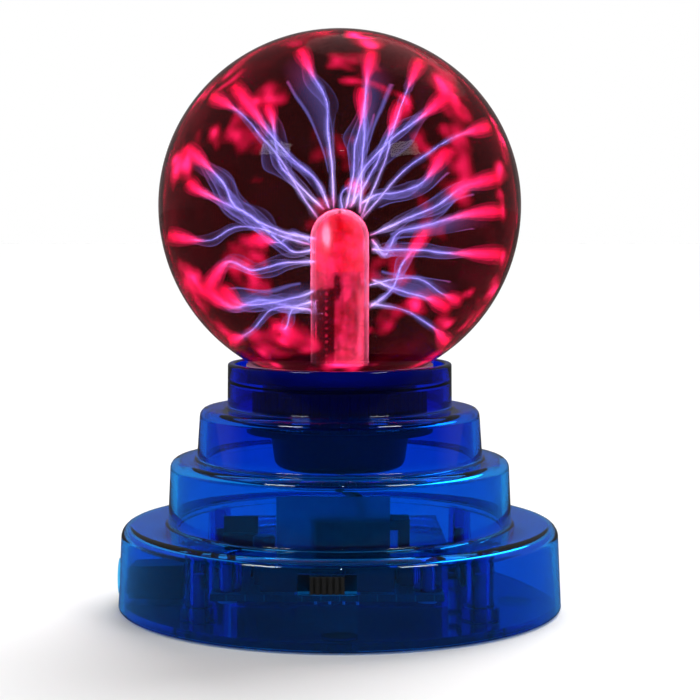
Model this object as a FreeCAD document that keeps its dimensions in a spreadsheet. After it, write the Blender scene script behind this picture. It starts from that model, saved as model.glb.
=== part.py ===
"""Desk plasma ball: a gas-filled glass globe with a glass electrode stem, on a stepped see-through casing.

Units are millimetres, +Z is up, the front (the side with the switch) faces -Y, and the origin lies on the
resting plane under the middle of the base. Driving sizes are in the spreadsheet "Sizes"; every sub-part is
an object of this document whose sizes are bound to those cells, and is written to parts/LABEL.step.
"""

import FreeCAD
import Part
import Sketcher
import math
import os
import re

from FreeCAD import Vector

doc = FreeCAD.newDocument("plasma_ball")

# ---------------------------------------------------------------------------------------------- sizes
SIZES = {
    # casing: four steps, each a drafted wall with a ledge on top
    "foot_drop": 0.4,            # the rubber feet stand this far below the casing
    "wall": 1.8,                 # casing walls and ledges
    "step_one_foot": 55.6,       # outer radius at the foot of the lowest step
    "step_one_head": 54.6,
    "step_two_foot": 43.1,
    "step_two_head": 42.35,
    "step_three_foot": 35.8,
    "step_three_head": 34.9,
    "collar_foot": 28.1,
    "collar_head": 28.0,
    "ledge_one": 21.1,           # height of each ledge's top face
    "ledge_two": 37.3,
    "ledge_three": 50.0,
    "rim_height": 61.2,
    "round_one": 3.0,            # outer rounds of the three ledges
    "round_two": 2.2,
    "round_three": 2.0,
    "inner_round": 1.0,
    "rim_round": 0.6,
    "cove": 0.8,                 # hollow fillet where a wall meets the ledge below it
    # clearances
    "fit_gap": 0.25,             # between parts that are put together
    "thread_gap": 0.05,          # round a screw in its pilot hole
    "slide_gap": 0.1,            # round the switch's lever
    # collar shelf that the gasket lies on, with lugs that key the globe's cap
    "shelf_top": 57.2,
    "shelf_thick": 1.6,
    "shelf_bore": 19.5,
    "lug_count": 5,
    "lug_width": 3.0,
    "lug_drop": 1.4,
    "lug_bite": 1.4,             # how far a lug reaches into the cap
    # screw bosses
    "boss_x": 33.0,
    "boss_y": 29.0,
    "boss_radius": 3.15,
    "boss_split": 6.0,           # height where the casing's boss meets the base plate's
    "plate_boss_radius": 4.4,
    "screw_radius": 1.4,
    "screw_length": 11.0,
    "screw_head_radius": 2.6,
    "screw_head_height": 1.6,
    # base plate
    "plate_low": 0.7,            # underside of the base plate
    "plate_thick": 1.8,
    # battery bay, for AAA cells lying along X
    "cell_radius": 5.25,
    "cell_length": 43.7,
    "nub_radius": 1.9,
    "nub_length": 0.8,
    "cell_pitch": 10.8,
    "cell_count": 4,
    "cell_rise": 1.4,            # the cells lie this far above the base plate
    "cell_room": 0.35,           # between the cells and the bay's roof
    "bay_middle": 12.0,          # the bay's middle, along Y
    "bay_length": 50.5,
    "bay_wall": 1.4,
    "contact_thick": 0.4,
    "contact_size": 8.0,
    "spring_radius": 2.6,
    "spring_wire": 0.35,
    "spring_pitch": 1.6,
    # battery door
    "door_thick": 1.6,
    "door_ledge": 2.0,           # the bay's floor left at each end of the opening
    "door_side": 0.4,            # and at each side of it
    "door_gap": 0.4,
    "tab_width": 6.0,
    "tab_reach": 2.2,
    "tab_thick": 0.9,
    "tab_gap": 0.1,
    "latch_width": 12.0,
    "latch_bump": 0.3,
    "pull_depth": 0.8,
    # rubber feet
    "foot_radius": 4.0,
    "foot_height": 1.6,
    "foot_ring": 44.0,
    # circuit board
    "board_middle": -2.8,        # middle of the board and the switch, along X
    "board_width": 53.0,
    "board_front": 43.0,         # distance of the front edge from the axis
    "board_depth": 29.0,
    "board_thick": 1.6,
    "board_top": 11.4,
    "post_radius": 3.3,
    "post_reach": 23.0,          # each side of the board's middle
    "post_y": 38.0,
    "board_screw_radius": 1.1,
    "board_screw_length": 7.0,
    # parts on the board
    "card_middle": -1.5,
    "card_width": 26.4,
    "card_top": 32.0,
    "card_thick": 1.0,
    "card_y": 31.0,
    "trafo_middle": 5.0,
    "trafo_y": 21.5,
    "trafo_width": 23.0,
    "trafo_depth": 8.0,
    "trafo_height": 14.0,
    "trafo_limb": 4.0,
    "coil_over": 3.0,            # the winding stands out this far from the core's middle limb
    "bobbin_flange": 0.7,
    "tall_cap_x": -17.6,
    "tall_cap_y": 30.0,
    "tall_cap_radius": 2.6,
    "tall_cap_height": 11.2,
    "wide_cap_x": 16.5,
    "wide_cap_y": 30.0,
    "wide_cap_radius": 3.2,
    "wide_cap_height": 8.0,
    "chip_x": -14.0,
    "chip_y": 20.0,
    "transistor_x": -23.5,
    "transistor_y": 22.0,
    "resistor_y": 35.0,
    "resistor_radius": 0.9,
    "resistor_length": 4.6,
    "resistor_pitch": 7.6,
    "resistor_lead": 0.28,
    # slide switch
    "slot_width": 13.2,
    "slot_height": 4.6,
    "slot_middle": 15.7,         # height of the slot's middle
    "travel": 2.5,               # each way from the middle position
    "grip_gap": 0.3,
    "grip_front": 55.5,          # distance of the grip's face from the axis
    "groove_width": 0.55,
    "groove_depth": 0.5,
    "shutter_width": 30.0,
    "shutter_height": 5.4,
    "shutter_front": 48.2,
    "shutter_thick": 1.0,
    "lever_width": 2.0,
    "lever_height": 1.6,
    "lever_bite": 1.6,           # how far the lever reaches into the switch
    "switch_width": 15.0,
    "switch_depth": 4.4,
    "switch_height": 5.4,
    "pin_middle": -0.7,
    "pin_pitch": 3.2,
    "pin_radius": 0.35,
    "pin_drop": 1.1,
    # moulded position marks
    "mark_height": 9.3,
    "mark_left": 11.6,
    "mark_right": 6.1,
    "mark_size": 1.6,
    "mark_stroke": 0.5,
    "mark_depth": 0.3,
    # power inlet
    "jack_height": 7.0,
    "jack_width": 9.0,
    "jack_tall": 7.6,
    "jack_depth": 13.5,
    "jack_back": 39.1,           # distance of the inlet's back from the axis
    "jack_nose": 3.4,
    "jack_nose_end": 55.2,
    "jack_bore": 2.75,
    "jack_bore_depth": 9.5,
    "jack_pin": 1.0,
    "jack_ring": 4.6,
    # globe
    "globe_radius": 45.0,
    "globe_flat": 1.26,          # the crown's centre lies this far below the belly's
    "globe_middle": 100.2,
    "glass": 1.3,
    "neck_radius": 12.0,
    "neck_foot": 46.0,
    # electrode
    "stem_radius": 7.1,
    "stem_glass": 0.9,
    "stem_top": 99.4,
    "stem_base": 1.2,
    "stem_gap": 0.1,
    "mesh_gap": 0.3,
    "mesh_thick": 0.35,
    "mesh_foot": 49.0,
    "mesh_head": 84.0,
    "mesh_open": 42.0,           # open angle of the rolled mesh, in degrees
    "mesh_turn": 231.0,          # where its toothed edge stands
    "tooth_pitch": 2.0,
    "tooth_depth": 0.9,
    "rod_radius": 0.8,
    "rod_foot": 42.4,
    # gasket, cap and cup under the globe
    "gasket_radius": 23.4,
    "gasket_height": 3.6,
    "gasket_gap": 0.12,
    "cap_radius": 22.0,
    "cap_flange": 23.4,
    "cap_flange_height": 1.5,
    "cap_wall": 1.8,
    "cap_foot": 44.0,
    "cap_ribs": 60,
    "rib_depth": 0.4,
    "rib_width": 1.1,
    "cup_head": 17.4,
    "cup_foot": 16.2,
    "cup_depth": 9.5,
    "cup_wall": 1.4,
    "cup_flange": 1.5,
    "cup_round": 2.5,
    # wires
    "lead_radius": 0.7,
    "lead_bend": 1.6,
    "lead_gap": 0.05,
    "high_lead_radius": 1.1,
    "high_lead_bend": 2.5,
}

sheet = doc.addObject("Spreadsheet::Sheet", "Sizes")
for row, (alias, value) in enumerate(SIZES.items(), start=1):
    sheet.set(f"A{row}", alias)
    sheet.set(f"B{row}", str(value))
    sheet.setAlias(f"B{row}", alias)
doc.recompute()


# ---------------------------------------------------------------------------------------------- tools
def link(text):
    """An expression in plain alias words, as FreeCAD reads it."""
    def cell(found):
        word = found.group(0)
        return "Sizes." + word if word in SIZES else word
    return re.sub(r"[a-z_]{3,}", cell, str(text))


def value(text):
    """The present value of an expression in alias words."""
    return float(sheet.evalExpression(link(text)))


def bind(obj, **sizes):
    for prop, text in sizes.items():
        obj.setExpression(prop, link(text))
    return obj


def place(obj, x=0, y=0, z=0, rotation=None):
    """Binds the object's position to expressions, after setting its rotation."""
    if rotation:
        axis, angle = rotation
        obj.Placement = FreeCAD.Placement(Vector(), FreeCAD.Rotation(Vector(*axis), angle))
    for name, text in (("x", x), ("y", y), ("z", z)):
        obj.setExpression(f"Placement.Base.{name}", link(text))
    return obj


def cylinder(name, radius, height, x=0, y=0, z=0, rotation=None):
    return place(bind(doc.addObject("Part::Cylinder", name), Radius=radius, Height=height), x, y, z, rotation)


def block(name, length, width, height, x=0, y=0, z=0):
    """A box centred on x and y, standing on z."""
    made = bind(doc.addObject("Part::Box", name), Length=length, Width=width, Height=height)
    return place(made, f"({x}) - ({length}) / 2", f"({y}) - ({width}) / 2", z)


def fused(name, *parts):
    made = doc.addObject("Part::MultiFuse", name)
    made.Shapes = list(parts)
    return made


def cut(name, base, *tools):
    made = doc.addObject("Part::Cut", name)
    made.Base = base
    made.Tool = tools[0] if len(tools) == 1 else fused(name + "_tools", *tools)
    return made


def group(name, *parts):
    made = doc.addObject("Part::Compound", name)
    made.Links = list(parts)
    return made


def lathe(name, points):
    """A PartDesign body: a closed sketch of (radius, height) expressions, turned round the Z axis."""
    body = doc.addObject("PartDesign::Body", name)
    plane = [o for o in body.Origin.OriginFeatures if o.Role == "XZ_Plane"][0]
    sketch = body.newObject("Sketcher::SketchObject", name + "_profile")
    sketch.AttachmentSupport = (plane, [""])
    sketch.MapMode = "FlatFace"
    places = [Vector(value(r), value(z), 0) for r, z in points]
    count = len(points)
    for i in range(count):
        sketch.addGeometry(Part.LineSegment(places[i], places[(i + 1) % count]), False)
    for i in range(count):
        join = Sketcher.Constraint("Coincident", i, 2, (i + 1) % count, 1)
        sketch.addConstraint(join)
    for i, (radius, height) in enumerate(points):
        for kind, text, axis in (("DistanceX", radius, -2), ("DistanceY", height, -1)):
            if str(text) == "0":
                sketch.addConstraint(Sketcher.Constraint("PointOnObject", i, 1, axis))
                continue
            size = value(text)
            at = sketch.addConstraint(Sketcher.Constraint(kind, -1, 1, i, 1, size))
            sketch.setExpression(f"Constraints[{at}]", link(text))
    turned = body.newObject("PartDesign::Revolution", name + "_turned")
    turned.Profile = sketch
    turned.ReferenceAxis = (sketch, ["V_Axis"])
    turned.Angle = 360
    return body


def round_edges(body, radius, *rings):
    """Rounds a turned body's circular edges, each found by its (radius, height)."""
    doc.recompute()
    tip = body.Tip
    names = []
    for ring_radius, height in rings:
        for number, edge in enumerate(tip.Shape.Edges, start=1):
            curve = edge.Curve
            if not isinstance(curve, Part.Circle) or abs(curve.Axis.z) < 0.9:
                continue
            if abs(curve.Radius - value(ring_radius)) < 0.01 and abs(curve.Center.z - value(height)) < 0.01:
                names.append(f"Edge{number}")
    if len(names) != len(rings):
        raise ValueError(f"{body.Name}: found {len(names)} of {len(rings)} edges to round")
    made = body.newObject("PartDesign::Fillet", f"{body.Name}_round_{len(body.Group)}")
    made.Base = (tip, names)
    bind(made, Radius=radius)
    return made


def solid(name, shape):
    """A Part::Feature for a shape that no parametric feature suits."""
    made = doc.addObject("Part::Feature", name)
    made.Shape = shape
    return made


def wire_path(points, bend):
    """Straight runs joined by tangent arcs of one bend radius, as a Part.Wire."""
    edges = []
    start = points[0]
    for before, corner, after in zip(points, points[1:], points[2:]):
        way_in = (corner - before).normalize()
        way_out = (after - corner).normalize()
        turn = way_in.getAngle(way_out)
        back = bend * math.tan(turn / 2)
        first = corner - way_in * back
        last = corner + way_out * back
        middle_way = (way_out - way_in).normalize()
        centre = corner + middle_way * (bend / math.cos(turn / 2))
        edges.append(Part.LineSegment(start, first).toShape())
        edges.append(Part.Arc(first, centre - middle_way * bend, last).toShape())
        start = last
    edges.append(Part.LineSegment(start, points[-1]).toShape())
    return Part.Wire(edges)


def tube(points, radius, bend):
    """A round wire swept along straight runs and arcs."""
    path = wire_path([Vector(*p) for p in points], bend)
    first = path.Edges[0]
    start = first.FirstParameter
    profile = Part.Wire(Part.Circle(first.valueAt(start), first.tangentAt(start), radius).toShape())
    return path.makePipeShell([profile], True, False)



def add_nodes(**made):
    """Gives each finished sub-part its node name."""
    for name, obj in made.items():
        obj.Label = name
        NODES[name] = obj


NODES = {}
PLATE_TOP = "(plate_low + plate_thick)"
CELL_AXIS = f"({PLATE_TOP} + cell_rise + cell_radius)"
BAY_ROOF = f"({CELL_AXIS} + cell_radius + cell_room)"
BAY_WIDTH = "(cell_count * cell_pitch)"
BOARD_LOW = "(board_top - board_thick)"
SHELF_LOW = "(shelf_top - shelf_thick)"
CAP_INNER = "(cap_radius - cap_wall)"
CORNERS = [(-1, -1), (1, -1), (1, 1), (-1, 1)]
LYING_X = ((0, 1, 0), 90)
FACING_FRONT = ((1, 0, 0), 90)


# ---------------------------------------------------------------------------------------------- casing
def step_one_at(height):
    """Outer radius of the lowest step's wall at a height."""
    return f"(step_one_foot - (step_one_foot - step_one_head) * ({height} - foot_drop) / (ledge_one - foot_drop))"


def front_face_at(height, across):
    """How far in front of the axis the lowest step's wall stands, across from the middle."""
    return f"sqrt({step_one_at(height)} ^ 2 - ({across}) ^ 2)"


def base_shell():
    outside = [
        ("step_one_foot", "foot_drop"), ("step_one_head", "ledge_one"),
        ("step_two_foot", "ledge_one"), ("step_two_head", "ledge_two"),
        ("step_three_foot", "ledge_two"), ("step_three_head", "ledge_three"),
        ("collar_foot", "ledge_three"), ("collar_head", "rim_height"),
    ]
    inside = [
        ("collar_head - wall", "rim_height"), ("collar_head - wall", "shelf_top"),
        ("shelf_bore", "shelf_top"), ("shelf_bore", SHELF_LOW),
        ("collar_foot - wall", SHELF_LOW), ("collar_foot - wall", "ledge_three - wall"),
        ("step_three_head - wall", "ledge_three - wall"), ("step_three_foot - wall", "ledge_two - wall"),
        ("step_two_head - wall", "ledge_two - wall"), ("step_two_foot - wall", "ledge_one - wall"),
        ("step_one_head - wall", "ledge_one - wall"), ("step_one_foot - wall", "foot_drop"),
    ]
    body = lathe("shell_wall", outside + inside)
    round_edges(body, "round_one", outside[1])
    round_edges(body, "round_two", outside[3])
    round_edges(body, "round_three", outside[5])
    round_edges(body, "cove", outside[2], outside[4], outside[6])
    round_edges(body, "rim_round", outside[7])
    round_edges(body, "inner_round", inside[6], inside[8], inside[10])

    added = []
    pilots = []
    for i, (side, end) in enumerate(CORNERS):
        x, y = f"{side} * boss_x", f"{end} * boss_y"
        added.append(cylinder(f"shell_boss_{i}", "boss_radius", "ledge_one - wall / 2 - boss_split", x, y, "boss_split"))
        pilots.append(cylinder(f"shell_pilot_{i}", "screw_radius + thread_gap", "screw_length",
                               x, y, "boss_split - 1"))
    for i, side in enumerate((-1, 1)):
        x, y = f"board_middle + {side} * post_reach", "-post_y"
        added.append(cylinder(f"shell_post_{i}", "post_radius", "ledge_one - wall / 2 - board_top", x, y, "board_top"))
        pilots.append(cylinder(f"post_pilot_{i}", "board_screw_radius + thread_gap", "board_screw_length",
                               x, y, "board_top - 1"))
    for i in range(int(value("lug_count"))):
        lug = bind(doc.addObject("Part::Box", f"shell_lug_{i}"), Length="lug_bite + fit_gap + 0.5", Width="lug_width",
                   Height="lug_drop + shelf_thick / 2")
        added.append(turn_about_axis(lug, 90 + 360 * i / value("lug_count"), "cap_radius - lug_bite + fit_gap",
                                     "lug_width", f"{SHELF_LOW} - lug_drop"))
    added.append(cylinder("jack_surround", "jack_ring", f"step_one_foot - {step_one_at('jack_height')} + wall",
                          "-step_one_foot", 0, "jack_height", LYING_X))

    slot = block("switch_slot", "slot_width", "3 * wall", "slot_height", "board_middle",
                 f"-({front_face_at('slot_middle', 'slot_width')})", "slot_middle - slot_height / 2")
    jack_hole = cylinder("jack_hole", "jack_nose + fit_gap", "4 * wall", "-step_one_foot - wall", 0,
                         "jack_height", LYING_X)
    ring = cut("mark_ring", *[
        cylinder(name, radius, "4 * mark_depth", "-mark_left",
                 f"-({front_face_at('mark_height', 'mark_left')}) + mark_depth", "mark_height", FACING_FRONT)
        for name, radius in (("mark_ring_out", "mark_size"), ("mark_ring_in", "mark_size - mark_stroke"))])
    bar = block("mark_bar", "mark_stroke", "4 * mark_depth", "2 * mark_size", "mark_right",
                f"-({front_face_at('mark_height', 'mark_right')}) - mark_depth", "mark_height - mark_size")
    whole = fused("shell_whole", body, *added)
    add_nodes(base_shell=cut("base_shell", whole, slot, jack_hole, ring, bar, *pilots))


def turn_about_axis(obj, angle, radius, width, height):
    """Stands a box on a radius at an angle, its width across that radius."""
    obj.Placement = FreeCAD.Placement(Vector(), FreeCAD.Rotation(Vector(0, 0, 1), angle))
    obj.setExpression("Placement.Base.x", link(f"({radius}) * cos({angle} deg) + ({width}) / 2 * sin({angle} deg)"))
    obj.setExpression("Placement.Base.y", link(f"({radius}) * sin({angle} deg) - ({width}) / 2 * cos({angle} deg)"))
    obj.setExpression("Placement.Base.z", link(height))
    return obj


def base_plate():
    disc = cylinder("plate_disc", "step_one_foot - wall - fit_gap", "plate_thick", 0, 0, "plate_low")
    tub = block("bay_outside", "bay_length + 2 * bay_wall", f"{BAY_WIDTH} + 2 * bay_wall",
                f"{BAY_ROOF} + bay_wall - plate_low", 0, "bay_middle", "plate_low")
    room = block("bay_inside", "bay_length", BAY_WIDTH, f"{BAY_ROOF} - {PLATE_TOP}", 0, "bay_middle", PLATE_TOP)
    opening = block("door_opening", "bay_length - 2 * door_ledge", f"{BAY_WIDTH} - 2 * door_side", "2 * plate_thick",
                    0, "bay_middle", "plate_low - plate_thick / 2")
    bosses = []
    holes = []
    for i, (side, end) in enumerate(CORNERS):
        x, y = f"{side} * boss_x", f"{end} * boss_y"
        bosses.append(cylinder(f"plate_boss_{i}", "plate_boss_radius", "boss_split - plate_low", x, y, "plate_low"))
        holes.append(cylinder(f"plate_hole_{i}", "screw_radius + fit_gap", "boss_split", x, y, "plate_low"))
        holes.append(cylinder(f"plate_sink_{i}", "screw_head_radius + fit_gap", "screw_head_height + fit_gap + 1",
                              x, y, "plate_low - 1"))
    for i, (x, y) in enumerate(foot_places()):
        holes.append(cylinder(f"foot_sink_{i}", "foot_radius + fit_gap", "foot_height - plate_low + 1",
                              x, y, "plate_low - 1"))
    whole = fused("plate_whole", disc, tub, *bosses)
    add_nodes(base_plate=cut("base_plate", whole, room, opening, *holes))


def foot_places():
    return [("foot_ring", 0), (0, "foot_ring"), ("-foot_ring", 0), (0, "-foot_ring")]


def rubber_feet():
    add_nodes(rubber_feet=group("rubber_feet", *[
        cylinder(f"foot_{i}", "foot_radius", "foot_height", x, y, 0) for i, (x, y) in enumerate(foot_places())]))


def screw(name, radius, length, x, y, z, head_radius, head_height):
    """A pan-head screw pointing up, its head's underside at z."""
    head = cylinder(name + "_head", head_radius, head_height, x, y, f"{z} - ({head_height})")
    shank = cylinder(name + "_shank", radius, length, x, y, z)
    drive = [block(f"{name}_drive_{i}", long, wide, f"({head_height}) / 2", x, y, f"{z} - ({head_height})")
             for i, (long, wide) in enumerate(((f"{head_radius}", "0.5"), ("0.5", f"{head_radius}")))]
    return cut(name, fused(name + "_blank", head, shank), *drive)


def base_screws():
    add_nodes(base_screws=group("base_screws", *[
        screw(f"base_screw_{i}", "screw_radius", "screw_length", f"{side} * boss_x", f"{end} * boss_y",
              "plate_low + screw_head_height + fit_gap", "screw_head_radius", "screw_head_height")
        for i, (side, end) in enumerate(CORNERS)]))


# ---------------------------------------------------------------------------------------------- batteries
def cell_rows():
    """Each cell's number, its place along Y and the side (+1 or -1) its positive end points to."""
    return [(i, f"bay_middle + ({i} - (cell_count - 1) / 2) * cell_pitch", 1 if i % 2 == 0 else -1)
            for i in range(int(value("cell_count")))]


def battery_cells():
    tip = "(bay_length / 2 - contact_thick - lead_gap)"
    for i, y, side in cell_rows():
        low = f"{tip} - nub_length - cell_length" if side > 0 else f"-{tip} + nub_length"
        nub = f"{tip} - nub_length" if side > 0 else f"-{tip}"
        cell = fused(f"battery_cell_{i + 1}",
                     cylinder(f"cell_can_{i}", "cell_radius", "cell_length", low, y, CELL_AXIS, LYING_X),
                     cylinder(f"cell_nub_{i}", "nub_radius", "nub_length", nub, y, CELL_AXIS, LYING_X))
        add_nodes(**{f"battery_cell_{i + 1}": cell})


def battery_contacts():
    plates = []
    for i, y, _side in cell_rows():
        for end in (-1, 1):
            plates.append(block(f"contact_{i}_{(end + 1) // 2}", "contact_thick", "contact_size", "contact_size",
                                f"{end} * (bay_length - contact_thick) / 2", y, f"{CELL_AXIS} - contact_size / 2"))
    add_nodes(battery_contacts=group("battery_contacts", *plates))


def battery_springs():
    """Coils between each cell's flat end and the contact behind it."""
    coils = []
    wire = value("spring_wire")
    room = value("bay_length - 2 * contact_thick - 2 * lead_gap - nub_length - cell_length")
    for _i, y, side in cell_rows():
        turns = Part.makeHelix(value("spring_pitch"), room - 2 * wire, value("spring_radius"))
        first = turns.Edges[0]
        section = Part.Wire(Part.Circle(first.valueAt(first.FirstParameter), Vector(0, 1, 0), wire).toShape())
        coil = turns.makePipeShell([section], True, True)
        coil.Placement = FreeCAD.Placement(
            Vector(-side * value("bay_length / 2 - contact_thick") + side * wire, value(y), value(CELL_AXIS)),
            FreeCAD.Rotation(Vector(0, 1, 0), 90 * side))
        coils.append(coil)
    add_nodes(battery_springs=solid("battery_springs", Part.makeCompound(coils)))


def battery_door():
    length = "(bay_length - 2 * door_ledge - 2 * door_gap)"
    width = f"({BAY_WIDTH} - 2 * door_side - 2 * door_gap)"
    panel = block("door_panel", length, width, "door_thick", 0, "bay_middle", "plate_low")
    added = []
    for i, side in enumerate((-1, 1)):
        y = f"bay_middle + {side} * cell_pitch"
        tab_low = f"{PLATE_TOP} + tab_gap"
        added.append(block(f"tab_{i}", "tab_reach + 1.5", "tab_width", "tab_thick",
                           f"-{length} / 2 - tab_reach / 2 + 0.75", y, tab_low))
        added.append(block(f"tab_web_{i}", "1.5", "tab_width", f"{tab_low} + tab_thick - plate_low",
                           f"-{length} / 2 + 0.75", y, "plate_low"))
    added.append(block("latch", "2 * latch_bump", "latch_width", "door_thick / 2", f"{length} / 2", "bay_middle",
                       "plate_low + door_thick / 2"))
    pull = block("finger_pull", "6", "latch_width", "2 * pull_depth", f"{length} / 2 - 6", "bay_middle",
                 "plate_low - pull_depth")
    grips = [block(f"door_groove_{i}", "0.8", f"{width} / 2", "pull_depth", f"{length} / 2 - 14 - {i} * 2", "bay_middle",
                   "plate_low - pull_depth / 2") for i in range(4)]
    add_nodes(battery_door=cut("battery_door", fused("door_whole", panel, *added), pull, *grips))


# ---------------------------------------------------------------------------------------------- board
def main_board():
    blank = block("board_blank", "board_width", "board_depth", "board_thick", "board_middle",
                  "-board_front + board_depth / 2", BOARD_LOW)
    holes = [cylinder(f"board_hole_{i}", "board_screw_radius + fit_gap", "3 * board_thick",
                      f"board_middle + {side} * post_reach", "-post_y", f"{BOARD_LOW} - board_thick")
             for i, side in enumerate((-1, 1))]
    holes += [cylinder(f"pin_hole_{i}", "pin_radius + thread_gap", "3 * board_thick", x, y,
                       f"{BOARD_LOW} - board_thick") for i, (x, y) in enumerate(pin_places())]
    add_nodes(main_board=cut("main_board", blank, *holes))


def pin_places():
    return [(f"pin_middle + ({i} - 1.5) * pin_pitch", "-board_front + switch_depth / 2") for i in range(4)]


def board_screws():
    add_nodes(board_screws=group("board_screws", *[
        screw(f"board_screw_{i}", "board_screw_radius", "board_screw_length", f"board_middle + {side} * post_reach",
              "-post_y", BOARD_LOW, "2 * board_screw_radius", "board_screw_radius")
        for i, side in enumerate((-1, 1))]))


def switch_parts():
    lever = "(board_top + switch_height / 2)"
    housing = block("switch_box", "switch_width", "switch_depth", "switch_height", "board_middle",
                    "-board_front + switch_depth / 2", "board_top")
    window = block("switch_window", "lever_width + 2 * travel + 4 * slide_gap", "2 * (lever_bite + 2 * slide_gap)",
                   "lever_height + 2 * slide_gap", "board_middle", "-board_front",
                   f"{lever} - lever_height / 2 - slide_gap")
    add_nodes(switch_body=cut("switch_body", housing, window))
    add_nodes(switch_pins=group("switch_pins", *[
        cylinder(f"switch_pin_{i}", "pin_radius", "board_thick + pin_drop", x, y, f"{BOARD_LOW} - pin_drop")
        for i, (x, y) in enumerate(pin_places())]))

    grip_width = "(slot_width - 2 * travel - 2 * grip_gap + 0.2)"
    grip_height = "(slot_height - 2 * grip_gap)"
    shutter = block("shutter", "shutter_width", "shutter_thick", "shutter_height", "board_middle",
                    "-shutter_front + shutter_thick / 2", "slot_middle - shutter_height / 2")
    grip = block("grip", grip_width, "grip_front - shutter_front + 0.2", grip_height, "board_middle",
                 "-(grip_front + shutter_front - 0.2) / 2", f"slot_middle - {grip_height} / 2")
    reach = "(shutter_front - board_front + lever_bite - shutter_thick / 2)"
    arm = block("lever", "lever_width", reach, "lever_height", "board_middle",
                f"-board_front + lever_bite - {reach} / 2", f"{lever} - lever_height / 2")
    grooves = [block(f"grip_groove_{i}", "groove_width", "2 * groove_depth", "2 * slot_height",
                     f"board_middle + ({i} - 2) * 2.6 * groove_width", "-grip_front", "slot_middle - slot_height")
               for i in range(5)]
    add_nodes(switch_slider=cut("switch_slider", fused("slider_whole", shutter, grip, arm), *grooves))


def driver_card():
    add_nodes(driver_card=block("driver_card", "card_width", "card_thick", "card_top - board_top", "card_middle",
                                "-card_y", "board_top"))


def transformer():
    low = "board_top + lead_gap"
    core = block("core_block", "trafo_width", "trafo_depth", "trafo_height", "trafo_middle", "-trafo_y", low)
    window_height = "(trafo_height - 2 * trafo_limb / 1.6)"
    window_width = "((trafo_width - 2 * trafo_limb / 1.6 - trafo_limb) / 2)"
    window_low = "(board_top + lead_gap + trafo_limb / 1.6)"
    windows = [block(f"core_window_{i}", window_width, "2 * trafo_depth", window_height,
                     f"trafo_middle + {side} * (trafo_limb + {window_width}) / 2", "-trafo_y", window_low)
               for i, side in enumerate((-1, 1))]
    add_nodes(transformer_core=cut("transformer_core", core, *windows))

    def spool(name, over, low, height):
        """A ring round the core's middle limb."""
        outer = block(name + "_out", f"trafo_limb + 2 * ({over})", f"trafo_depth + 2 * ({over}) - 2", height,
                      "trafo_middle", "-trafo_y", low)
        inner = block(name + "_in", "trafo_limb + 2 * slide_gap", "trafo_depth + 2 * slide_gap", f"3 * ({height})",
                      "trafo_middle", "-trafo_y", f"{low} - ({height})")
        return cut(name, outer, inner)

    flange = "bobbin_flange"
    add_nodes(transformer_bobbin=group(
        "transformer_bobbin", spool("bobbin_low", "coil_over + 0.6", f"{window_low} + slide_gap", flange),
        spool("bobbin_high", "coil_over + 0.6", f"{window_low} + {window_height} - slide_gap - bobbin_flange", flange)))
    add_nodes(transformer_winding=spool("transformer_winding", "coil_over", f"{window_low} + 2 * slide_gap + {flange}",
                                        f"{window_height} - 4 * slide_gap - 2 * {flange}"))


def small_parts():
    on_board = "board_top + lead_gap"
    for name in ("tall_cap", "wide_cap"):
        can = cylinder(name + "_can", name + "_radius", name + "_height", name + "_x", f"-{name}_y", on_board)
        doc.recompute()
        top = doc.addObject("Part::Fillet", name)
        top.Base = can
        edge = [n for n, e in enumerate(can.Shape.Edges, start=1)
                if isinstance(e.Curve, Part.Circle) and e.Curve.Center.z > value("board_top") + 1][0]
        top.Edges = [(edge, 0.8, 0.8)]
        add_nodes(**{("capacitor_tall" if name == "tall_cap" else "capacitor_wide"): top})
    legs = [block(f"chip_leg_{i}", "0.5", "0.8", "1.6", f"chip_x + ({i % 4} - 1.5) * 2.54",
                  f"-chip_y + {-1 if i < 4 else 1} * 3.6", on_board) for i in range(8)]
    package = block("chip_package", "9.6", "6.6", "3.0", "chip_x", "-chip_y", "board_top + 0.7")
    add_nodes(driver_chip=fused("driver_chip", package, *legs))
    tab = block("transistor_tab", "8", "0.8", "12", "transistor_x", "-transistor_y + 1.4", "board_top + 2.2")
    case = block("transistor_case", "8", "3", "8", "transistor_x", "-transistor_y", "board_top + 2.2")
    feet = [block(f"transistor_leg_{i}", "0.6", "0.5", "2.6", f"transistor_x + ({i} - 1) * 2.5", "-transistor_y",
                  on_board) for i in range(3)]
    add_nodes(power_transistor=fused("power_transistor", tab, case, *feet))
    made = []
    for i in range(3):
        x = value(f"card_middle + ({i} - 1) * resistor_pitch")
        y, low, half = -value("resistor_y"), value(on_board), value("resistor_length") / 2
        axis = low + value("resistor_radius") + 0.3
        stem = tube([(x - half - 0.9, y, low), (x - half - 0.9, y, axis), (x + half + 0.9, y, axis),
                     (x + half + 0.9, y, low)], value("resistor_lead"), 0.5)
        barrel = Part.makeCylinder(value("resistor_radius"), 2 * half, Vector(x - half, y, axis), Vector(1, 0, 0))
        made.append(barrel.fuse(stem))
    add_nodes(resistors=solid("resistors", Part.makeCompound(made)))


# ---------------------------------------------------------------------------------------------- inlet and wires
def power_jack():
    box = block("jack_box", "jack_depth", "jack_width", "jack_tall", "-jack_back - jack_depth / 2", 0,
                "jack_height - jack_tall / 2")
    nose = cylinder("jack_nose", "jack_nose", "jack_nose_end - jack_back - jack_depth / 2", "-jack_nose_end", 0,
                    "jack_height", LYING_X)
    bore = cylinder("jack_bore", "jack_bore", "jack_bore_depth + 1", "-jack_nose_end - 1", 0, "jack_height", LYING_X)
    add_nodes(power_jack=cut("power_jack", fused("jack_blank", box, nose), bore))
    add_nodes(jack_pin=cylinder("jack_pin", "jack_pin", "jack_bore_depth - 1", "-jack_nose_end + 1", 0,
                                "jack_height", LYING_X))


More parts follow.
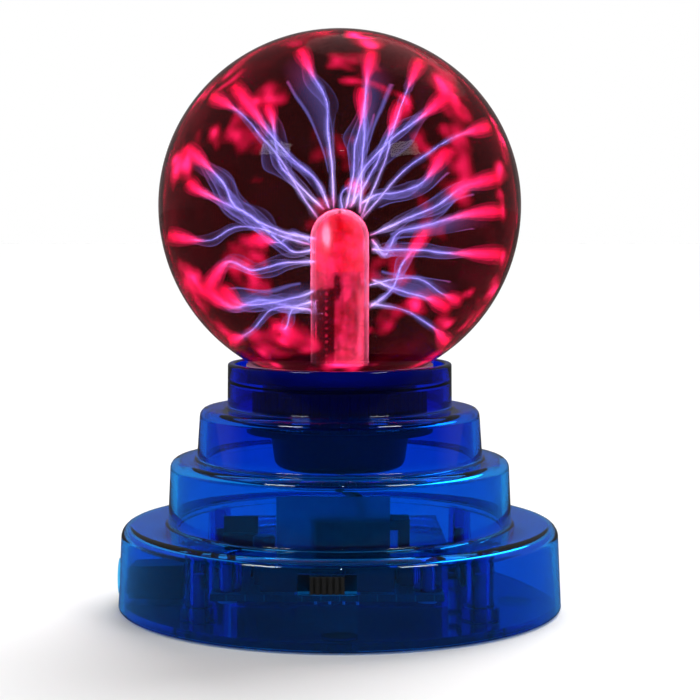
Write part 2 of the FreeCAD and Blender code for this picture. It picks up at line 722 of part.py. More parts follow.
def leads():
    radius, bend, gap = value("lead_radius"), value("lead_bend"), value("lead_gap")
    back, low = -value("jack_back") + gap, value("jack_height")
    end, over = value("board_top") + gap, value("board_top") + 2.8
    left = value("board_middle - board_width / 2")
    right = value("board_middle + board_width / 2")
    wall = value("bay_length / 2 + bay_wall") + gap
    runs = {
        "power_leads": [
            [(back, -1.6, low), (left - 5.4, -1.6, low), (left - 5.4, -17, low), (left - 5.4, -17, over),
             (left + 2.4, -17, over), (left + 2.4, -17, end)],
            [(back, 1.6, low), (left - 3.0, 1.6, low), (left - 3.0, -19.4, low), (left - 3.0, -19.4, over),
             (left + 4.6, -19.4, over), (left + 4.6, -19.4, end)]],
        "battery_leads": [
            [(wall, 0, 9), (right + 6.0, 0, 9), (right + 6.0, -19, 9), (right + 6.0, -19, over),
             (right - 2.6, -19, over), (right - 2.6, -19, end)],
            [(wall, 4, 6.6), (right + 8.4, 4, 6.6), (right + 8.4, -21.6, 6.6), (right + 8.4, -21.6, over),
             (right - 4.8, -21.6, over), (right - 4.8, -21.6, end)]],
    }
    for name, paths in runs.items():
        add_nodes(**{name: solid(name, Part.makeCompound([tube(path, radius, bend) for path in paths]))})
    top = value("board_top + trafo_height") + 2 * gap
    cup_low = value("cap_foot - cup_depth")
    x, y = value("trafo_middle"), -value("trafo_y")
    add_nodes(high_voltage_lead=solid("high_voltage_lead", tube(
        [(x, y, top), (x, y, cup_low - 4.6), (0, 0, cup_low - 4.6), (0, 0, value("rod_foot") - gap)],
        value("high_lead_radius"), value("high_lead_bend"))))


# ---------------------------------------------------------------------------------------------- globe and electrode
def turned_solid(name, edges):
    """A solid turned round the Z axis from a closed run of edges in the XZ plane."""
    made = Part.Face(Part.Wire(Part.__sortEdges__(edges))).revolve(Vector(), Vector(0, 0, 1), 360)
    return solid(name, made)


def at(radius, height):
    return Vector(radius, 0, height)


def globe_skin(inset):
    """The globe's profile from crown to neck, this far in from the outside, as edges and its two end points."""
    middle, flat = value("globe_middle"), value("globe_flat")
    radius, neck = value("globe_radius") - inset, value("neck_radius") - inset
    crown_middle = middle - flat
    top = at(0, crown_middle + radius)
    widest = at(math.sqrt(radius ** 2 - (flat / 2) ** 2), middle - flat / 2)
    neck_end = at(neck, middle - math.sqrt(radius ** 2 - neck ** 2))
    corner = radius / math.sqrt(2)
    crown = Part.Arc(top, at(corner, crown_middle + corner), widest)
    belly = Part.Arc(widest, at(corner, middle - corner), neck_end)
    return [crown.toShape(), belly.toShape()], top, neck_end


def glass_globe():
    outer, outer_top, outer_end = globe_skin(0)
    inner, inner_top, inner_end = globe_skin(value("glass"))
    foot = value("neck_foot")
    line = [outer_end, at(outer_end.x, foot), at(inner_end.x, foot), inner_end]
    edges = outer + inner + [Part.LineSegment(a, b).toShape() for a, b in zip(line, line[1:])]
    edges.append(Part.LineSegment(outer_top, inner_top).toShape())
    add_nodes(glass_globe=turned_solid("glass_globe", edges))


def electrode_tube():
    """The re-entrant glass stem, domed at its top and flared out to meet the neck."""
    outer, wall = value("stem_radius"), value("stem_glass")
    inner = outer - wall
    top, low = value("stem_top"), value("neck_foot")
    middle = top - outer
    edges = []
    for radius in (outer, inner):
        corner = radius / math.sqrt(2)
        edges.append(Part.Arc(at(0, middle + radius), at(corner, middle + corner), at(radius, middle)).toShape())
    flare = value("neck_radius - glass - stem_gap")
    ledge = low + value("stem_base")
    points = [at(outer, middle), at(outer, ledge), at(flare, ledge), at(flare, low), at(inner, low), at(inner, middle)]
    edges += [Part.LineSegment(a, b).toShape() for a, b in zip(points, points[1:])]
    edges.append(Part.LineSegment(at(0, middle + outer), at(0, middle + inner)).toShape())
    add_nodes(electrode_tube=turned_solid("electrode_tube", edges))


def electrode_mesh():
    """A rolled sheet standing in the stem, one of its long edges toothed."""
    outer = "(stem_radius - stem_glass - mesh_gap)"
    tall = "(mesh_head - mesh_foot)"
    roll = cut("mesh_roll", *[
        bind(cylinder(name, radius, height, 0, 0, low), Angle="360 - mesh_open")
        for name, radius, height, low in (("mesh_outside", outer, tall, "mesh_foot"),
                                          ("mesh_inside", f"{outer} - mesh_thick", f"{tall} + 2", "mesh_foot - 1"))])
    roll.Placement = FreeCAD.Placement(Vector(), FreeCAD.Rotation(Vector(0, 0, 1), value("mesh_turn")))
    turn = math.radians(value("mesh_turn"))
    teeth = []
    for i in range(int(value(f"{tall} / tooth_pitch"))):
        middle = value(outer)
        tooth = Part.makeBox(2.0, value("tooth_depth"), value("tooth_pitch") / 2)
        tooth.Placement = FreeCAD.Placement(
            Vector((middle - 1.5) * math.cos(turn), (middle - 1.5) * math.sin(turn),
                   value("mesh_foot") + (i + 0.25) * value("tooth_pitch")),
            FreeCAD.Rotation(Vector(0, 0, 1), value("mesh_turn")))
        teeth.append(tooth)
    add_nodes(electrode_mesh=cut("electrode_mesh", roll, solid("mesh_teeth", Part.makeCompound(teeth))))


def electrode_inside():
    inner = "(stem_radius - stem_glass - mesh_gap)"
    ball = bind(doc.addObject("Part::Sphere", "wool_dome"), Radius=inner)
    ball.Angle1 = 0
    place(ball, 0, 0, "stem_top - stem_radius")
    plug = cylinder("wool_plug", inner, "stem_top - stem_radius - mesh_head", 0, 0, "mesh_head")
    add_nodes(electrode_wool=fused("electrode_wool", plug, ball))
    add_nodes(electrode_rod=cylinder("electrode_rod", "rod_radius", "mesh_head - rod_foot", 0, 0, "rod_foot"))


def globe_gasket():
    ring = cut("gasket_ring", cylinder("gasket_out", "gasket_radius", "gasket_height", 0, 0, "shelf_top"),
               cylinder("gasket_in", "shelf_bore + 0.1", "2 * gasket_height", 0, 0, "shelf_top - 1"))
    ball = place(bind(doc.addObject("Part::Sphere", "gasket_seat"), Radius="globe_radius + gasket_gap"),
                 0, 0, "globe_middle")
    add_nodes(globe_gasket=cut("globe_gasket", ring, ball))


def globe_cap():
    """The ribbed cap that holds the neck, hung under the collar's shelf and keyed by its lugs."""
    roof = f"{SHELF_LOW} - cap_wall"
    body = lathe("cap_body", [
        ("neck_radius + fit_gap", roof), ("neck_radius + fit_gap", SHELF_LOW), ("cap_radius", SHELF_LOW),
        ("cap_radius", "cap_foot + cap_flange_height"), ("cap_flange", "cap_foot + cap_flange_height"),
        ("cap_flange", "cap_foot"), (CAP_INNER, "cap_foot"), (CAP_INNER, roof)])
    plane = [o for o in body.Origin.OriginFeatures if o.Role == "XY_Plane"][0]
    sketch = body.newObject("Sketcher::SketchObject", "rib_groove")
    sketch.AttachmentSupport = (plane, [""])
    sketch.MapMode = "FlatFace"
    sketch.setExpression("AttachmentOffset.Base.z", link("cap_foot + cap_flange_height"))
    reach = "cap_radius + 1"
    points = [("cap_radius - rib_depth", "0"), (reach, "-rib_width"), (reach, "rib_width")]
    places = [Vector(value(x), value(y), 0) for x, y in points]
    for i in range(3):
        sketch.addGeometry(Part.LineSegment(places[i], places[(i + 1) % 3]), False)
    for i in range(3):
        sketch.addConstraint(Sketcher.Constraint("Coincident", i, 2, (i + 1) % 3, 1))
    for i, (x, y) in enumerate(points):
        n = sketch.addConstraint(Sketcher.Constraint("DistanceX", -1, 1, i, 1, value(x)))
        sketch.setExpression(f"Constraints[{n}]", link(x))
        if y == "0":
            sketch.addConstraint(Sketcher.Constraint("PointOnObject", i, 1, -1))
            continue
        n = sketch.addConstraint(Sketcher.Constraint("DistanceY", -1, 1, i, 1, value(y)))
        sketch.setExpression(f"Constraints[{n}]", link(y))
    groove = body.newObject("PartDesign::Pocket", "rib_pocket")
    groove.Profile = sketch
    groove.Reversed = True
    bind(groove, Length=f"{SHELF_LOW} - cap_foot - cap_flange_height - 1")
    ribs = body.newObject("PartDesign::PolarPattern", "ribs")
    ribs.Originals = [groove]
    ribs.Axis = (sketch, ["N_Axis"])
    ribs.Angle = 360
    bind(ribs, Occurrences="cap_ribs")
    body.Tip = ribs
    notches = []
    for i in range(int(value("lug_count"))):
        notch = bind(doc.addObject("Part::Box", f"cap_notch_{i}"), Length="lug_bite + 2", Width="lug_width + 2 * fit_gap",
                     Height="lug_drop + 2 * fit_gap")
        notches.append(turn_about_axis(notch, 90 + 360 * i / value("lug_count"), "cap_radius - lug_bite",
                                       "lug_width + 2 * fit_gap", f"{SHELF_LOW} - lug_drop - fit_gap"))
    add_nodes(globe_cap=cut("globe_cap", body, *notches))


def globe_cup():
    low = "cap_foot - cup_depth"
    hole = "high_lead_radius + fit_gap"
    flange = f"{CAP_INNER} - fit_gap / 2"
    top = "cap_foot + cup_flange"
    outer = ("cup_foot", low)
    body = lathe("cup_body", [
        (hole, low), outer, ("cup_head", "cap_foot"), (flange, "cap_foot"), (flange, top),
        ("cup_head - cup_wall", top), ("cup_foot - cup_wall", f"{low} + cup_wall"), (hole, f"{low} + cup_wall")])
    round_edges(body, "cup_round", outer)
    add_nodes(globe_cup=body)


# ---------------------------------------------------------------------------------------------- build and export
def build():
    base_shell()
    base_plate()
    rubber_feet()
    base_screws()
    battery_cells()
    battery_contacts()
    battery_springs()
    battery_door()
    main_board()
    board_screws()
    switch_parts()
    driver_card()
    transformer()
    small_parts()
    power_jack()
    leads()
    glass_globe()
    electrode_tube()
    electrode_mesh()
    electrode_inside()
    globe_gasket()
    globe_cap()
    globe_cup()
    doc.recompute()


def export():
    for obj in doc.Objects:
        if "Invalid" in obj.State or "Error" in obj.State:
            raise ValueError(f"{obj.Name} is {obj.State}")
    os.makedirs("parts", exist_ok=True)
    for name, obj in NODES.items():
        shape = obj.Shape
        if shape.isNull() or not shape.isValid() or not shape.Solids:
            raise ValueError(f"{name} has no valid solid")
        shape.exportStep(f"parts/{name}.step")
        box = shape.optimalBoundingBox()
        print(f"{name}: {len(shape.Solids)} solids, {shape.Volume:.1f} mm3, x {box.XMin:.2f} {box.XMax:.2f}, "
              f"y {box.YMin:.2f} {box.YMax:.2f}, z {box.ZMin:.2f} {box.ZMax:.2f}")


build()
export()
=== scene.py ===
"""Looks of the desk plasma ball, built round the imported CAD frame. Metres, +Z up, front towards -Y."""

import math
import random

import bmesh
import bpy
from mathutils import Matrix, Vector, noise

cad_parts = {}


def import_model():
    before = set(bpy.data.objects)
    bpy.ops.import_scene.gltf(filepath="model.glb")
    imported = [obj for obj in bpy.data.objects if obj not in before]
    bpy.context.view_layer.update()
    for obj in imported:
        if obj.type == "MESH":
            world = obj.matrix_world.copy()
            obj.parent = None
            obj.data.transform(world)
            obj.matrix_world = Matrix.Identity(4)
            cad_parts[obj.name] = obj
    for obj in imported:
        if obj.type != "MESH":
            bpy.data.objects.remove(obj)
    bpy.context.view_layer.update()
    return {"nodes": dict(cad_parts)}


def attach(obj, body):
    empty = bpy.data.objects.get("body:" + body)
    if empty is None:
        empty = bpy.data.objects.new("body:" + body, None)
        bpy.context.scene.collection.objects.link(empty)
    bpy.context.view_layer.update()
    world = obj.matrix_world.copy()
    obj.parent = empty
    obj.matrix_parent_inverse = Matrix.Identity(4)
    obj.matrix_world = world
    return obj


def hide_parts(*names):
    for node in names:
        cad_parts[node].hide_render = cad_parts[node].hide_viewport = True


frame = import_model()
nodes = frame["nodes"]
scene = bpy.context.scene
MM = 0.001


# ------------------------------------------------------------------------------------------ camera
cam_data = bpy.data.cameras.new("camera")
cam = bpy.data.objects.new("camera", cam_data)
scene.collection.objects.link(cam)
cam.location = (0, -0.4594, 0.0979)
cam.rotation_euler = (math.pi / 2 - 0.073, 0, 0)
cam_data.lens = 94.54
cam_data.sensor_width = 36
cam_data.shift_x = 0.0147
cam_data.clip_start = 0.01
cam_data.clip_end = 50
scene.camera = cam
scene.view_settings.view_transform = "Standard"
scene.cycles.max_bounces = 24
scene.cycles.transmission_bounces = 20
scene.cycles.transparent_max_bounces = 96
scene.cycles.glossy_bounces = 6


# ------------------------------------------------------------------------------------------ node helpers
class Mat:
    """A material being wired: add nodes, link sockets, set values."""

    def __init__(self, name):
        self.mat = bpy.data.materials.new(name)
        self.mat.use_nodes = True
        self.tree = self.mat.node_tree
        self.tree.nodes.clear()
        self.out = self.add("OutputMaterial")

    def add(self, kind, **settings):
        node = self.tree.nodes.new("ShaderNode" + kind)
        for key, val in settings.items():
            setattr(node, key, val)
        return node

    def link(self, a, b):
        self.tree.links.new(a, b)

    def put(self, node, **values):
        for key, val in values.items():
            socket = node.inputs[key.replace("_", " ")]
            if hasattr(val, "is_linked") or hasattr(val, "links"):
                self.link(val, socket)
            else:
                socket.default_value = val
        return node

    def principled(self, **values):
        node = self.add("BsdfPrincipled")
        self.put(node, **values)
        self.link(node.outputs[0], self.out.inputs["Surface"])
        return node

    def coords(self):
        return self.add("TexCoord").outputs["Object"]

    def noise(self, scale, detail=3.0, rough=0.55, vector=None):
        node = self.add("TexNoise")
        self.put(node, Scale=scale, Detail=detail, Roughness=rough)
        self.link(vector or self.coords(), node.inputs["Vector"])
        return node.outputs["Fac"]

    def ramp(self, value, stops):
        node = self.add("ValToRGB")
        while len(node.color_ramp.elements) < len(stops):
            node.color_ramp.elements.new(0.5)
        for element, (pos, colour) in zip(node.color_ramp.elements, stops):
            element.position = pos
            element.color = colour if len(colour) == 4 else (*colour, 1)
        self.link(value, node.inputs["Fac"])
        return node.outputs["Color"]

    def grey(self, value, low, high, start=0.0, end=1.0):
        node = self.add("MapRange")
        self.put(node, From_Min=start, From_Max=end, To_Min=low, To_Max=high)
        self.link(value, node.inputs["Value"])
        return node.outputs["Result"]

    def bump(self, height, strength, distance=0.0002):
        node = self.add("Bump")
        self.put(node, Strength=strength, Distance=distance)
        self.link(height, node.inputs["Height"])
        return node.outputs["Normal"]


def paint(node_names, mat):
    for name in node_names:
        obj = nodes[name]
        for i in range(len(obj.data.materials)):
            obj.data.materials[i] = mat


def rgb(r, g, b):
    """sRGB 0-255 to linear."""
    return tuple((c / 255 / 12.92 if c / 255 <= 0.04045 else ((c / 255 + 0.055) / 1.055) ** 2.4) for c in (r, g, b)) + (1,)


# ------------------------------------------------------------------------------------------ materials of the CAD nodes
def clear_blue(name, colour, rough, bump_strength, bands):
    """Clear blue plastic, deeper or lighter in colour where the bands (share of height, power) say so; uneven bands are
    painted light and shade by height.
    """
    m = Mat(name)
    fine = m.noise(260, 4)
    wide = m.noise(34, 2)
    split = m.add("SeparateXYZ")
    m.link(m.coords(), split.inputs[0])
    high = m.add("MapRange")
    m.put(high, From_Min=0.0, From_Max=0.0625)
    m.link(split.outputs["Z"], high.inputs["Value"])
    # the tint raised to a power band by band up the height: painted light and shade where the bands differ
    depth = m.ramp(high.outputs[0], [(at, tuple(c ** power for c in colour)) for at, power in bands])
    shade = m.add("MixRGB", blend_type="MULTIPLY")
    shade.inputs["Fac"].default_value = 1.0
    m.link(depth, shade.inputs["Color1"])
    m.link(m.ramp(wide, [(0.3, (0.94, 0.94, 0.94)), (0.7, (1, 1, 1))]), shade.inputs["Color2"])
    m.principled(Base_Color=shade.outputs[0], Roughness=m.grey(fine, rough * 0.6, rough * 1.5), IOR=1.5,
                 Transmission_Weight=1.0, Normal=m.bump(wide, bump_strength))
    return m.mat


def moulded(name, colour, rough=0.4, grain=900, depth=0.12, specular=0.5):
    m = Mat(name)
    fine = m.noise(grain, 3)
    wide = m.noise(60, 3)
    shade = m.ramp(wide, [(0.25, tuple(c * 0.75 for c in colour[:3])), (0.75, tuple(min(1, c * 1.15) for c in colour[:3]))])
    m.principled(Base_Color=shade, Roughness=m.grey(fine, rough * 0.8, min(1, rough * 1.25)),
                 Normal=m.bump(fine, depth, 0.00005), Specular_IOR_Level=specular)
    return m.mat


def metal(name, colour, rough=0.3, scratch=600):
    m = Mat(name)
    mapping = m.add("Mapping")
    mapping.inputs["Scale"].default_value = (1, 1, 12)
    m.link(m.coords(), mapping.inputs["Vector"])
    lines = m.noise(scratch, 4, vector=mapping.outputs[0])
    wide = m.noise(80, 3)
    shade = m.ramp(wide, [(0.3, tuple(c * 0.7 for c in colour[:3])), (0.7, colour[:3])])
    m.principled(Base_Color=shade, Metallic=1.0, Roughness=m.grey(lines, rough * 0.6, rough * 1.4),
                 Normal=m.bump(lines, 0.1, 0.00003))
    return m.mat


# painted light and shade: the casing's blue is a little lighter on the second tier and much deeper on the third tier
# and the collar
CASING_SHADED_BY_HEIGHT = clear_blue("casing_blue_painted_tier_shade", (0.003, 0.215, 0.74), 0.02, 0.02,
                    ((0.0, 0.95), (0.30, 1.0), (0.36, 0.88), (0.58, 0.92), (0.63, 1.45), (0.78, 1.5), (0.83, 3.1)))
paint(["base_plate", "battery_door"], clear_blue("plate_clear_blue", (0.003, 0.15, 0.66), 0.06, 0.04, ((0.0, 1.0), (1.0, 1.0))))
paint(["rubber_feet"], moulded("rubber_feet_black", (0.02, 0.02, 0.022, 1), 0.75, 1400, 0.3))
paint(["base_screws", "board_screws"], metal("screw_zinc", (0.62, 0.62, 0.63, 1), 0.32))
paint(["battery_contacts", "switch_pins", "jack_pin"], metal("tinned_brass", (0.80, 0.78, 0.72, 1), 0.28))
paint(["battery_springs"], metal("spring_nickel", (0.75, 0.75, 0.77, 1), 0.2))
paint(["electrode_rod"], metal("rod_nickel", (0.62, 0.6, 0.58, 1), 0.25))
paint(["switch_body"], metal("switch_can", (0.45, 0.46, 0.48, 1), 0.38))
paint(["switch_slider"], moulded("slider_black", (0.012, 0.012, 0.013, 1), 0.38, 1600, 0.15))
paint(["power_jack"], moulded("jack_black", (0.014, 0.014, 0.015, 1), 0.42))
paint(["globe_cap", "globe_cup"], moulded("holder_black", (0.006, 0.006, 0.009, 1), 0.42, 1100, 0.2))
paint(["globe_gasket"], moulded("gasket_foam", (0.74, 0.66, 0.54, 1), 0.8, 1500, 0.5))
paint(["transformer_core"], moulded("ferrite_dark", (0.03, 0.03, 0.034, 1), 0.6, 800, 0.3))
paint(["transformer_bobbin"], moulded("bobbin_black", (0.03, 0.028, 0.026, 1), 0.45))
paint(["driver_chip", "power_transistor"], moulded("package_black", (0.02, 0.02, 0.021, 1), 0.5, 1500, 0.2))
paint(["capacitor_tall", "capacitor_wide"], moulded("capacitor_sleeve", (0.012, 0.016, 0.045, 1), 0.3, 300, 0.05))
paint(["power_leads", "high_voltage_lead"], moulded("lead_black", (0.015, 0.015, 0.017, 1), 0.45, 700, 0.1))
paint(["battery_leads"], moulded("lead_red", (0.42, 0.02, 0.02, 1), 0.45, 700, 0.1))
paint(["resistors"], moulded("resistor_tan", (0.5, 0.36, 0.2, 1), 0.4, 900, 0.1))


def coil_material():
    m = Mat("winding_copper")
    wave = m.add("TexWave", wave_type="BANDS", bands_direction="Z")
    m.put(wave, Scale=420.0, Distortion=0.6, Detail=1.0)
    m.link(m.coords(), wave.inputs["Vector"])
    shade = m.ramp(wave.outputs["Fac"], [(0.1, (0.10, 0.028, 0.01)), (0.8, (0.50, 0.17, 0.06))])
    m.principled(Base_Color=shade, Metallic=0.6, Roughness=0.36, Normal=m.bump(wave.outputs["Fac"], 0.7, 0.0002))
    return m.mat


paint(["transformer_winding"], coil_material())


def board_material(name, colour, clear):
    """Solder mask with a faint pattern of copper runs beneath it."""
    m = Mat(name)
    brick = m.add("TexBrick", offset=0.37, squash=0.6, squash_frequency=3)
    m.put(brick, Scale=210.0, Mortar_Size=0.035, Bias=0.0, Brick_Width=0.9, Row_Height=0.32)
    brick.inputs["Color1"].default_value = (*colour, 1)
    brick.inputs["Color2"].default_value = (*[c * 0.8 for c in colour], 1)
    brick.inputs["Mortar"].default_value = (*[min(1, c * 1.9 + 0.01) for c in colour], 1)
    m.link(m.coords(), brick.inputs["Vector"])
    m.principled(Base_Color=brick.outputs["Color"], Roughness=0.3, Transmission_Weight=clear, IOR=1.45,
                 Normal=m.bump(brick.outputs["Fac"], 0.25, 0.0001))
    return m.mat


paint(["main_board"], board_material("board_green", (0.02, 0.17, 0.10), 0.0))


def card_material():
    """A thin sheet of translucent board, darker where its coating is thick."""
    m = Mat("card_teal")
    split = m.add("SeparateXYZ")
    m.link(m.coords(), split.inputs[0])

    def edge(axis, start, end):
        node = m.add("MapRange", interpolation_type="SMOOTHSTEP")
        m.put(node, From_Min=start, From_Max=end)
        m.link(split.outputs[axis], node.inputs["Value"])
        return node.outputs[0]
    left, low, high = edge("X", -0.007, -0.005), edge("Z", 0.0145, 0.0165), edge("Z", 0.0275, 0.0255)
    patch = left
    for side in (low, high):
        both = m.add("Math", operation="MULTIPLY")
        m.link(patch, both.inputs[0])
        m.link(side, both.inputs[1])
        patch = both.outputs[0]
    cloud = m.ramp(m.noise(140, 4), [(0.3, (0.12, 0.50, 0.46)), (0.7, (0.20, 0.66, 0.58))])
    coat = m.ramp(m.noise(420, 3), [(0.3, (0.015, 0.06, 0.07)), (0.7, (0.03, 0.10, 0.11))])
    shade = m.add("MixRGB")
    m.link(patch, shade.inputs["Fac"])
    m.link(cloud, shade.inputs["Color1"])
    m.link(coat, shade.inputs["Color2"])
    fine = m.noise(900, 3)
    m.principled(Base_Color=shade.outputs[0], Roughness=m.grey(fine, 0.25, 0.5), Transmission_Weight=0.7, IOR=1.45,
                 Normal=m.bump(fine, 0.15, 0.0001))
    return m.mat


paint(["driver_card"], card_material())


def cell_material():
    """A cell's sleeve: two plain bands of colour and a bare metal end at each side."""
    m = Mat("cell_sleeve")
    split = m.add("SeparateXYZ")
    m.link(m.coords(), split.inputs[0])
    band = m.ramp(m.grey(split.outputs["X"], 0, 1, -0.025, 0.025), [
        (0.0, (0.55, 0.55, 0.56)), (0.045, (0.012, 0.016, 0.02)), (0.30, (0.30, 0.19, 0.05)), (0.95, (0.5, 0.5, 0.5))])
    fine = m.noise(500, 3)
    m.principled(Base_Color=band, Roughness=m.grey(fine, 0.24, 0.4), Metallic=0.3, Normal=m.bump(fine, 0.05, 0.00005))
    return m.mat


paint([f"battery_cell_{i}" for i in range(1, 5)], cell_material())


# ------------------------------------------------------------------------------------------ globe and electrode glass
def globe_material():
    m = Mat("globe_glass_painted_dark_tint")
    wide = m.noise(18, 2)
    # painted shade: the glass is given a dark reddish brown tint that stands in for the dark round the lit plasma
    m.principled(Base_Color=m.ramp(wide, [(0.3, (0.135, 0.056, 0.058)), (0.7, (0.15, 0.062, 0.064))]),
                 Roughness=m.grey(m.noise(300, 2), 0.0, 0.012), IOR=1.12, Transmission_Weight=1.0,
                 Specular_IOR_Level=0.5, Normal=m.bump(wide, 0.01))
    return m.mat




# ------------------------------------------------------------------------------------------ turned pieces
def arc_corner(before, corner, after, radius, steps=7):
    """The points of a round that replaces a corner of a profile."""
    a, b, c = (Vector((*p, 0)) for p in (before, corner, after))
    way_in, way_out = (b - a).normalized(), (c - b).normalized()
    turn = way_in.angle(way_out)
    back = radius * math.tan(turn / 2)
    centre = b + (way_out - way_in).normalized() * (radius / math.cos(turn / 2))
    first, last = b - way_in * back - centre, b + way_out * back - centre
    return [tuple((centre + first.lerp(last, i / steps).normalized() * radius).xy) for i in range(steps + 1)]


def rounded(points):
    """A closed profile from (radius, height, round) corners."""
    out = []
    for i, (r, z, fillet) in enumerate(points):
        if fillet:
            out += arc_corner(points[i - 1][:2], (r, z), points[(i + 1) % len(points)][:2], fillet)
        else:
            out.append((r, z))
    return out


def lathe(bm, profile, sides=192, closed=True):
    """Turns a profile of (radius, height) in millimetres round the Z axis; radius 0 becomes one point."""
    rings = []
    for r, z in profile:
        if r < 1e-6:
            rings.append([bm.verts.new((0, 0, z * MM))])
        else:
            rings.append([bm.verts.new((r * math.cos(2 * math.pi * k / sides) * MM,
                                        r * math.sin(2 * math.pi * k / sides) * MM, z * MM)) for k in range(sides)])
    pairs = list(zip(rings, rings[1:])) + ([(rings[-1], rings[0])] if closed else [])
    for one, two in pairs:
        if len(one) == 1 and len(two) == 1:
            continue
        for k in range(sides):
            n = (k + 1) % sides
            if len(one) == 1:
                bm.faces.new((one[0], two[k], two[n]))
            elif len(two) == 1:
                bm.faces.new((one[k], two[0], one[n]))
            else:
                bm.faces.new((one[k], two[k], two[n], one[n]))
    bmesh.ops.recalc_face_normals(bm, faces=bm.faces)


def as_object(name, bm, mat):
    mesh = bpy.data.meshes.new(name)
    bm.to_mesh(mesh)
    bm.free()
    if mat:
        mesh.materials.append(mat)
    obj = bpy.data.objects.new(name, mesh)
    scene.collection.objects.link(obj)
    return obj


def smooth(obj, angle=28):
    """Smooth shading with edges sharper than the angle kept crisp."""
    bpy.context.view_layer.objects.active = obj
    obj.select_set(True)
    bpy.ops.object.shade_smooth_by_angle(angle=math.radians(angle))
    obj.select_set(False)


def boolean(obj, other, operation):
    mod = obj.modifiers.new("join", "BOOLEAN")
    mod.operation = operation
    mod.solver = "EXACT"
    mod.object = other
    bpy.context.view_layer.objects.active = obj
    with bpy.context.temp_override(object=obj, active_object=obj):
        bpy.ops.object.modifier_apply(modifier=mod.name)
    bpy.data.objects.remove(other)


def pipe(bm, outer, inner, low, high, x=0, y=0, sides=40):
    """An upright tube, or a rod where inner is 0, in millimetres."""
    start = len(bm.verts)
    profile = [(outer, low), (outer, high), (inner, high), (inner, low)]
    lathe(bm, profile, sides, closed=inner > 0)
    bm.verts.ensure_lookup_table()
    bmesh.ops.translate(bm, vec=Vector((x, y, 0)) * MM, verts=bm.verts[start:])


def brick(bm, low, high):
    made = bmesh.ops.create_cube(bm, size=1.0)["verts"]
    for v in made:
        v.co = Vector([(low[i] + high[i]) / 2 + v.co[i] * (high[i] - low[i]) for i in range(3)]) * MM


def casing():
    """The stepped clear casing in one moulding, with its bosses, posts, lugs, slot and socket hole."""
    corners = [
        (55.6, 0.4, 0.5), (54.6, 21.1, 3.0), (43.1, 21.1, 0.8), (42.35, 37.3, 2.2), (35.8, 37.3, 0.8),
        (34.9, 50.0, 2.0), (28.1, 50.0, 0.8), (28.0, 61.2, 0.6), (26.2, 61.2, 0.5), (26.2, 57.2, 0), (19.5, 57.2, 0),
        (19.5, 55.6, 0), (26.3, 55.6, 0), (26.3, 48.2, 0), (33.1, 48.2, 1.0), (34.0, 35.5, 0), (40.55, 35.5, 1.0),
        (41.3, 19.3, 0), (52.8, 19.3, 1.0), (53.8, 0.4, 0.4),
    ]
    bm = bmesh.new()
    lathe(bm, rounded(corners), 256)
    shell = as_object("casing_shell", bm, CASING_SHADED_BY_HEIGHT)

    bm = bmesh.new()
    for x in (-33.0, 33.0):
        for y in (-29.0, 29.0):
            pipe(bm, 3.15, 1.45, 6.0, 20.2, x, y)
    for x in (-25.8, 20.2):
        pipe(bm, 3.3, 1.15, 11.4, 20.2, x, -38.0)
    boolean(shell, as_object("bosses", bm, None), "UNION")

    bm = bmesh.new()
    for k in range(5):
        start = len(bm.verts)
        brick(bm, (20.85, -1.5, 54.2), (22.75, 1.5, 56.4))
        bm.verts.ensure_lookup_table()
        turn = math.radians(90 + 72 * k)
        for v in bm.verts[start:]:
            v.co = Vector((v.co.x * math.cos(turn) - v.co.y * math.sin(turn),
                           v.co.x * math.sin(turn) + v.co.y * math.cos(turn), v.co.z))
    boolean(shell, as_object("lugs", bm, None), "UNION")

    bm = bmesh.new()
    brick(bm, (-9.4, -58, 13.4), (3.8, -50, 18.0))
    boolean(shell, as_object("slot", bm, None), "DIFFERENCE")

    bm = bmesh.new()
    pipe(bm, 4.6, 0, -55.6, -53.5, 0, 0, 48)
    bmesh.ops.rotate(bm, verts=bm.verts, matrix=Matrix.Rotation(math.pi / 2, 3, "Y"))
    bmesh.ops.translate(bm, verts=bm.verts, vec=(0, 0, 0.007))
    boolean(shell, as_object("surround", bm, None), "UNION")
    bm = bmesh.new()
    pipe(bm, 3.65, 0, -60, -50, 0, 0, 48)
    bmesh.ops.rotate(bm, verts=bm.verts, matrix=Matrix.Rotation(math.pi / 2, 3, "Y"))
    bmesh.ops.translate(bm, verts=bm.verts, vec=(0, 0, 0.007))
    boolean(shell, as_object("socket_hole", bm, None), "DIFFERENCE")

    bm = bmesh.new()
    pipe(bm, 1.6, 1.1, 53.67, 58, 0, 0, 40)
    bmesh.ops.rotate(bm, verts=bm.verts, matrix=Matrix.Rotation(math.pi / 2, 3, "X"))
    bmesh.ops.translate(bm, verts=bm.verts, vec=(-0.0116, 0, 0.0093))
    brick(bm, (5.85, -58, 7.7), (6.35, -54.55, 10.9))
    boolean(shell, as_object("marks", bm, None), "DIFFERENCE")
    smooth(shell, 25)
    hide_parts("base_shell")
    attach(shell, "base")


def globe():
    """The blown ball: a little flatter above its widest line, drawn in at the neck."""
    def skin(inset, steps=96):
        radius, crown, neck = 45.0 - inset, 43.74 - inset, 12.0 - inset
        out = [(radius * math.sin(t), 100.2 + crown * math.cos(t))
               for t in [math.pi / 2 * i / steps for i in range(steps)]]
        last = math.pi / 2 + math.acos(neck / radius)
        out += [(radius * math.sin(t), 100.2 + radius * math.cos(t))
                for t in [math.pi / 2 + (last - math.pi / 2) * i / steps for i in range(steps + 1)]]
        return out + [(neck, 46.0)]
    bm = bmesh.new()
    lathe(bm, skin(0) + list(reversed(skin(0.3))), 224, closed=False)
    ball = as_object("globe_blown_glass", bm, globe_material())
    smooth(ball, 60)
    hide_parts("glass_globe")
    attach(ball, "base")


casing()
globe()


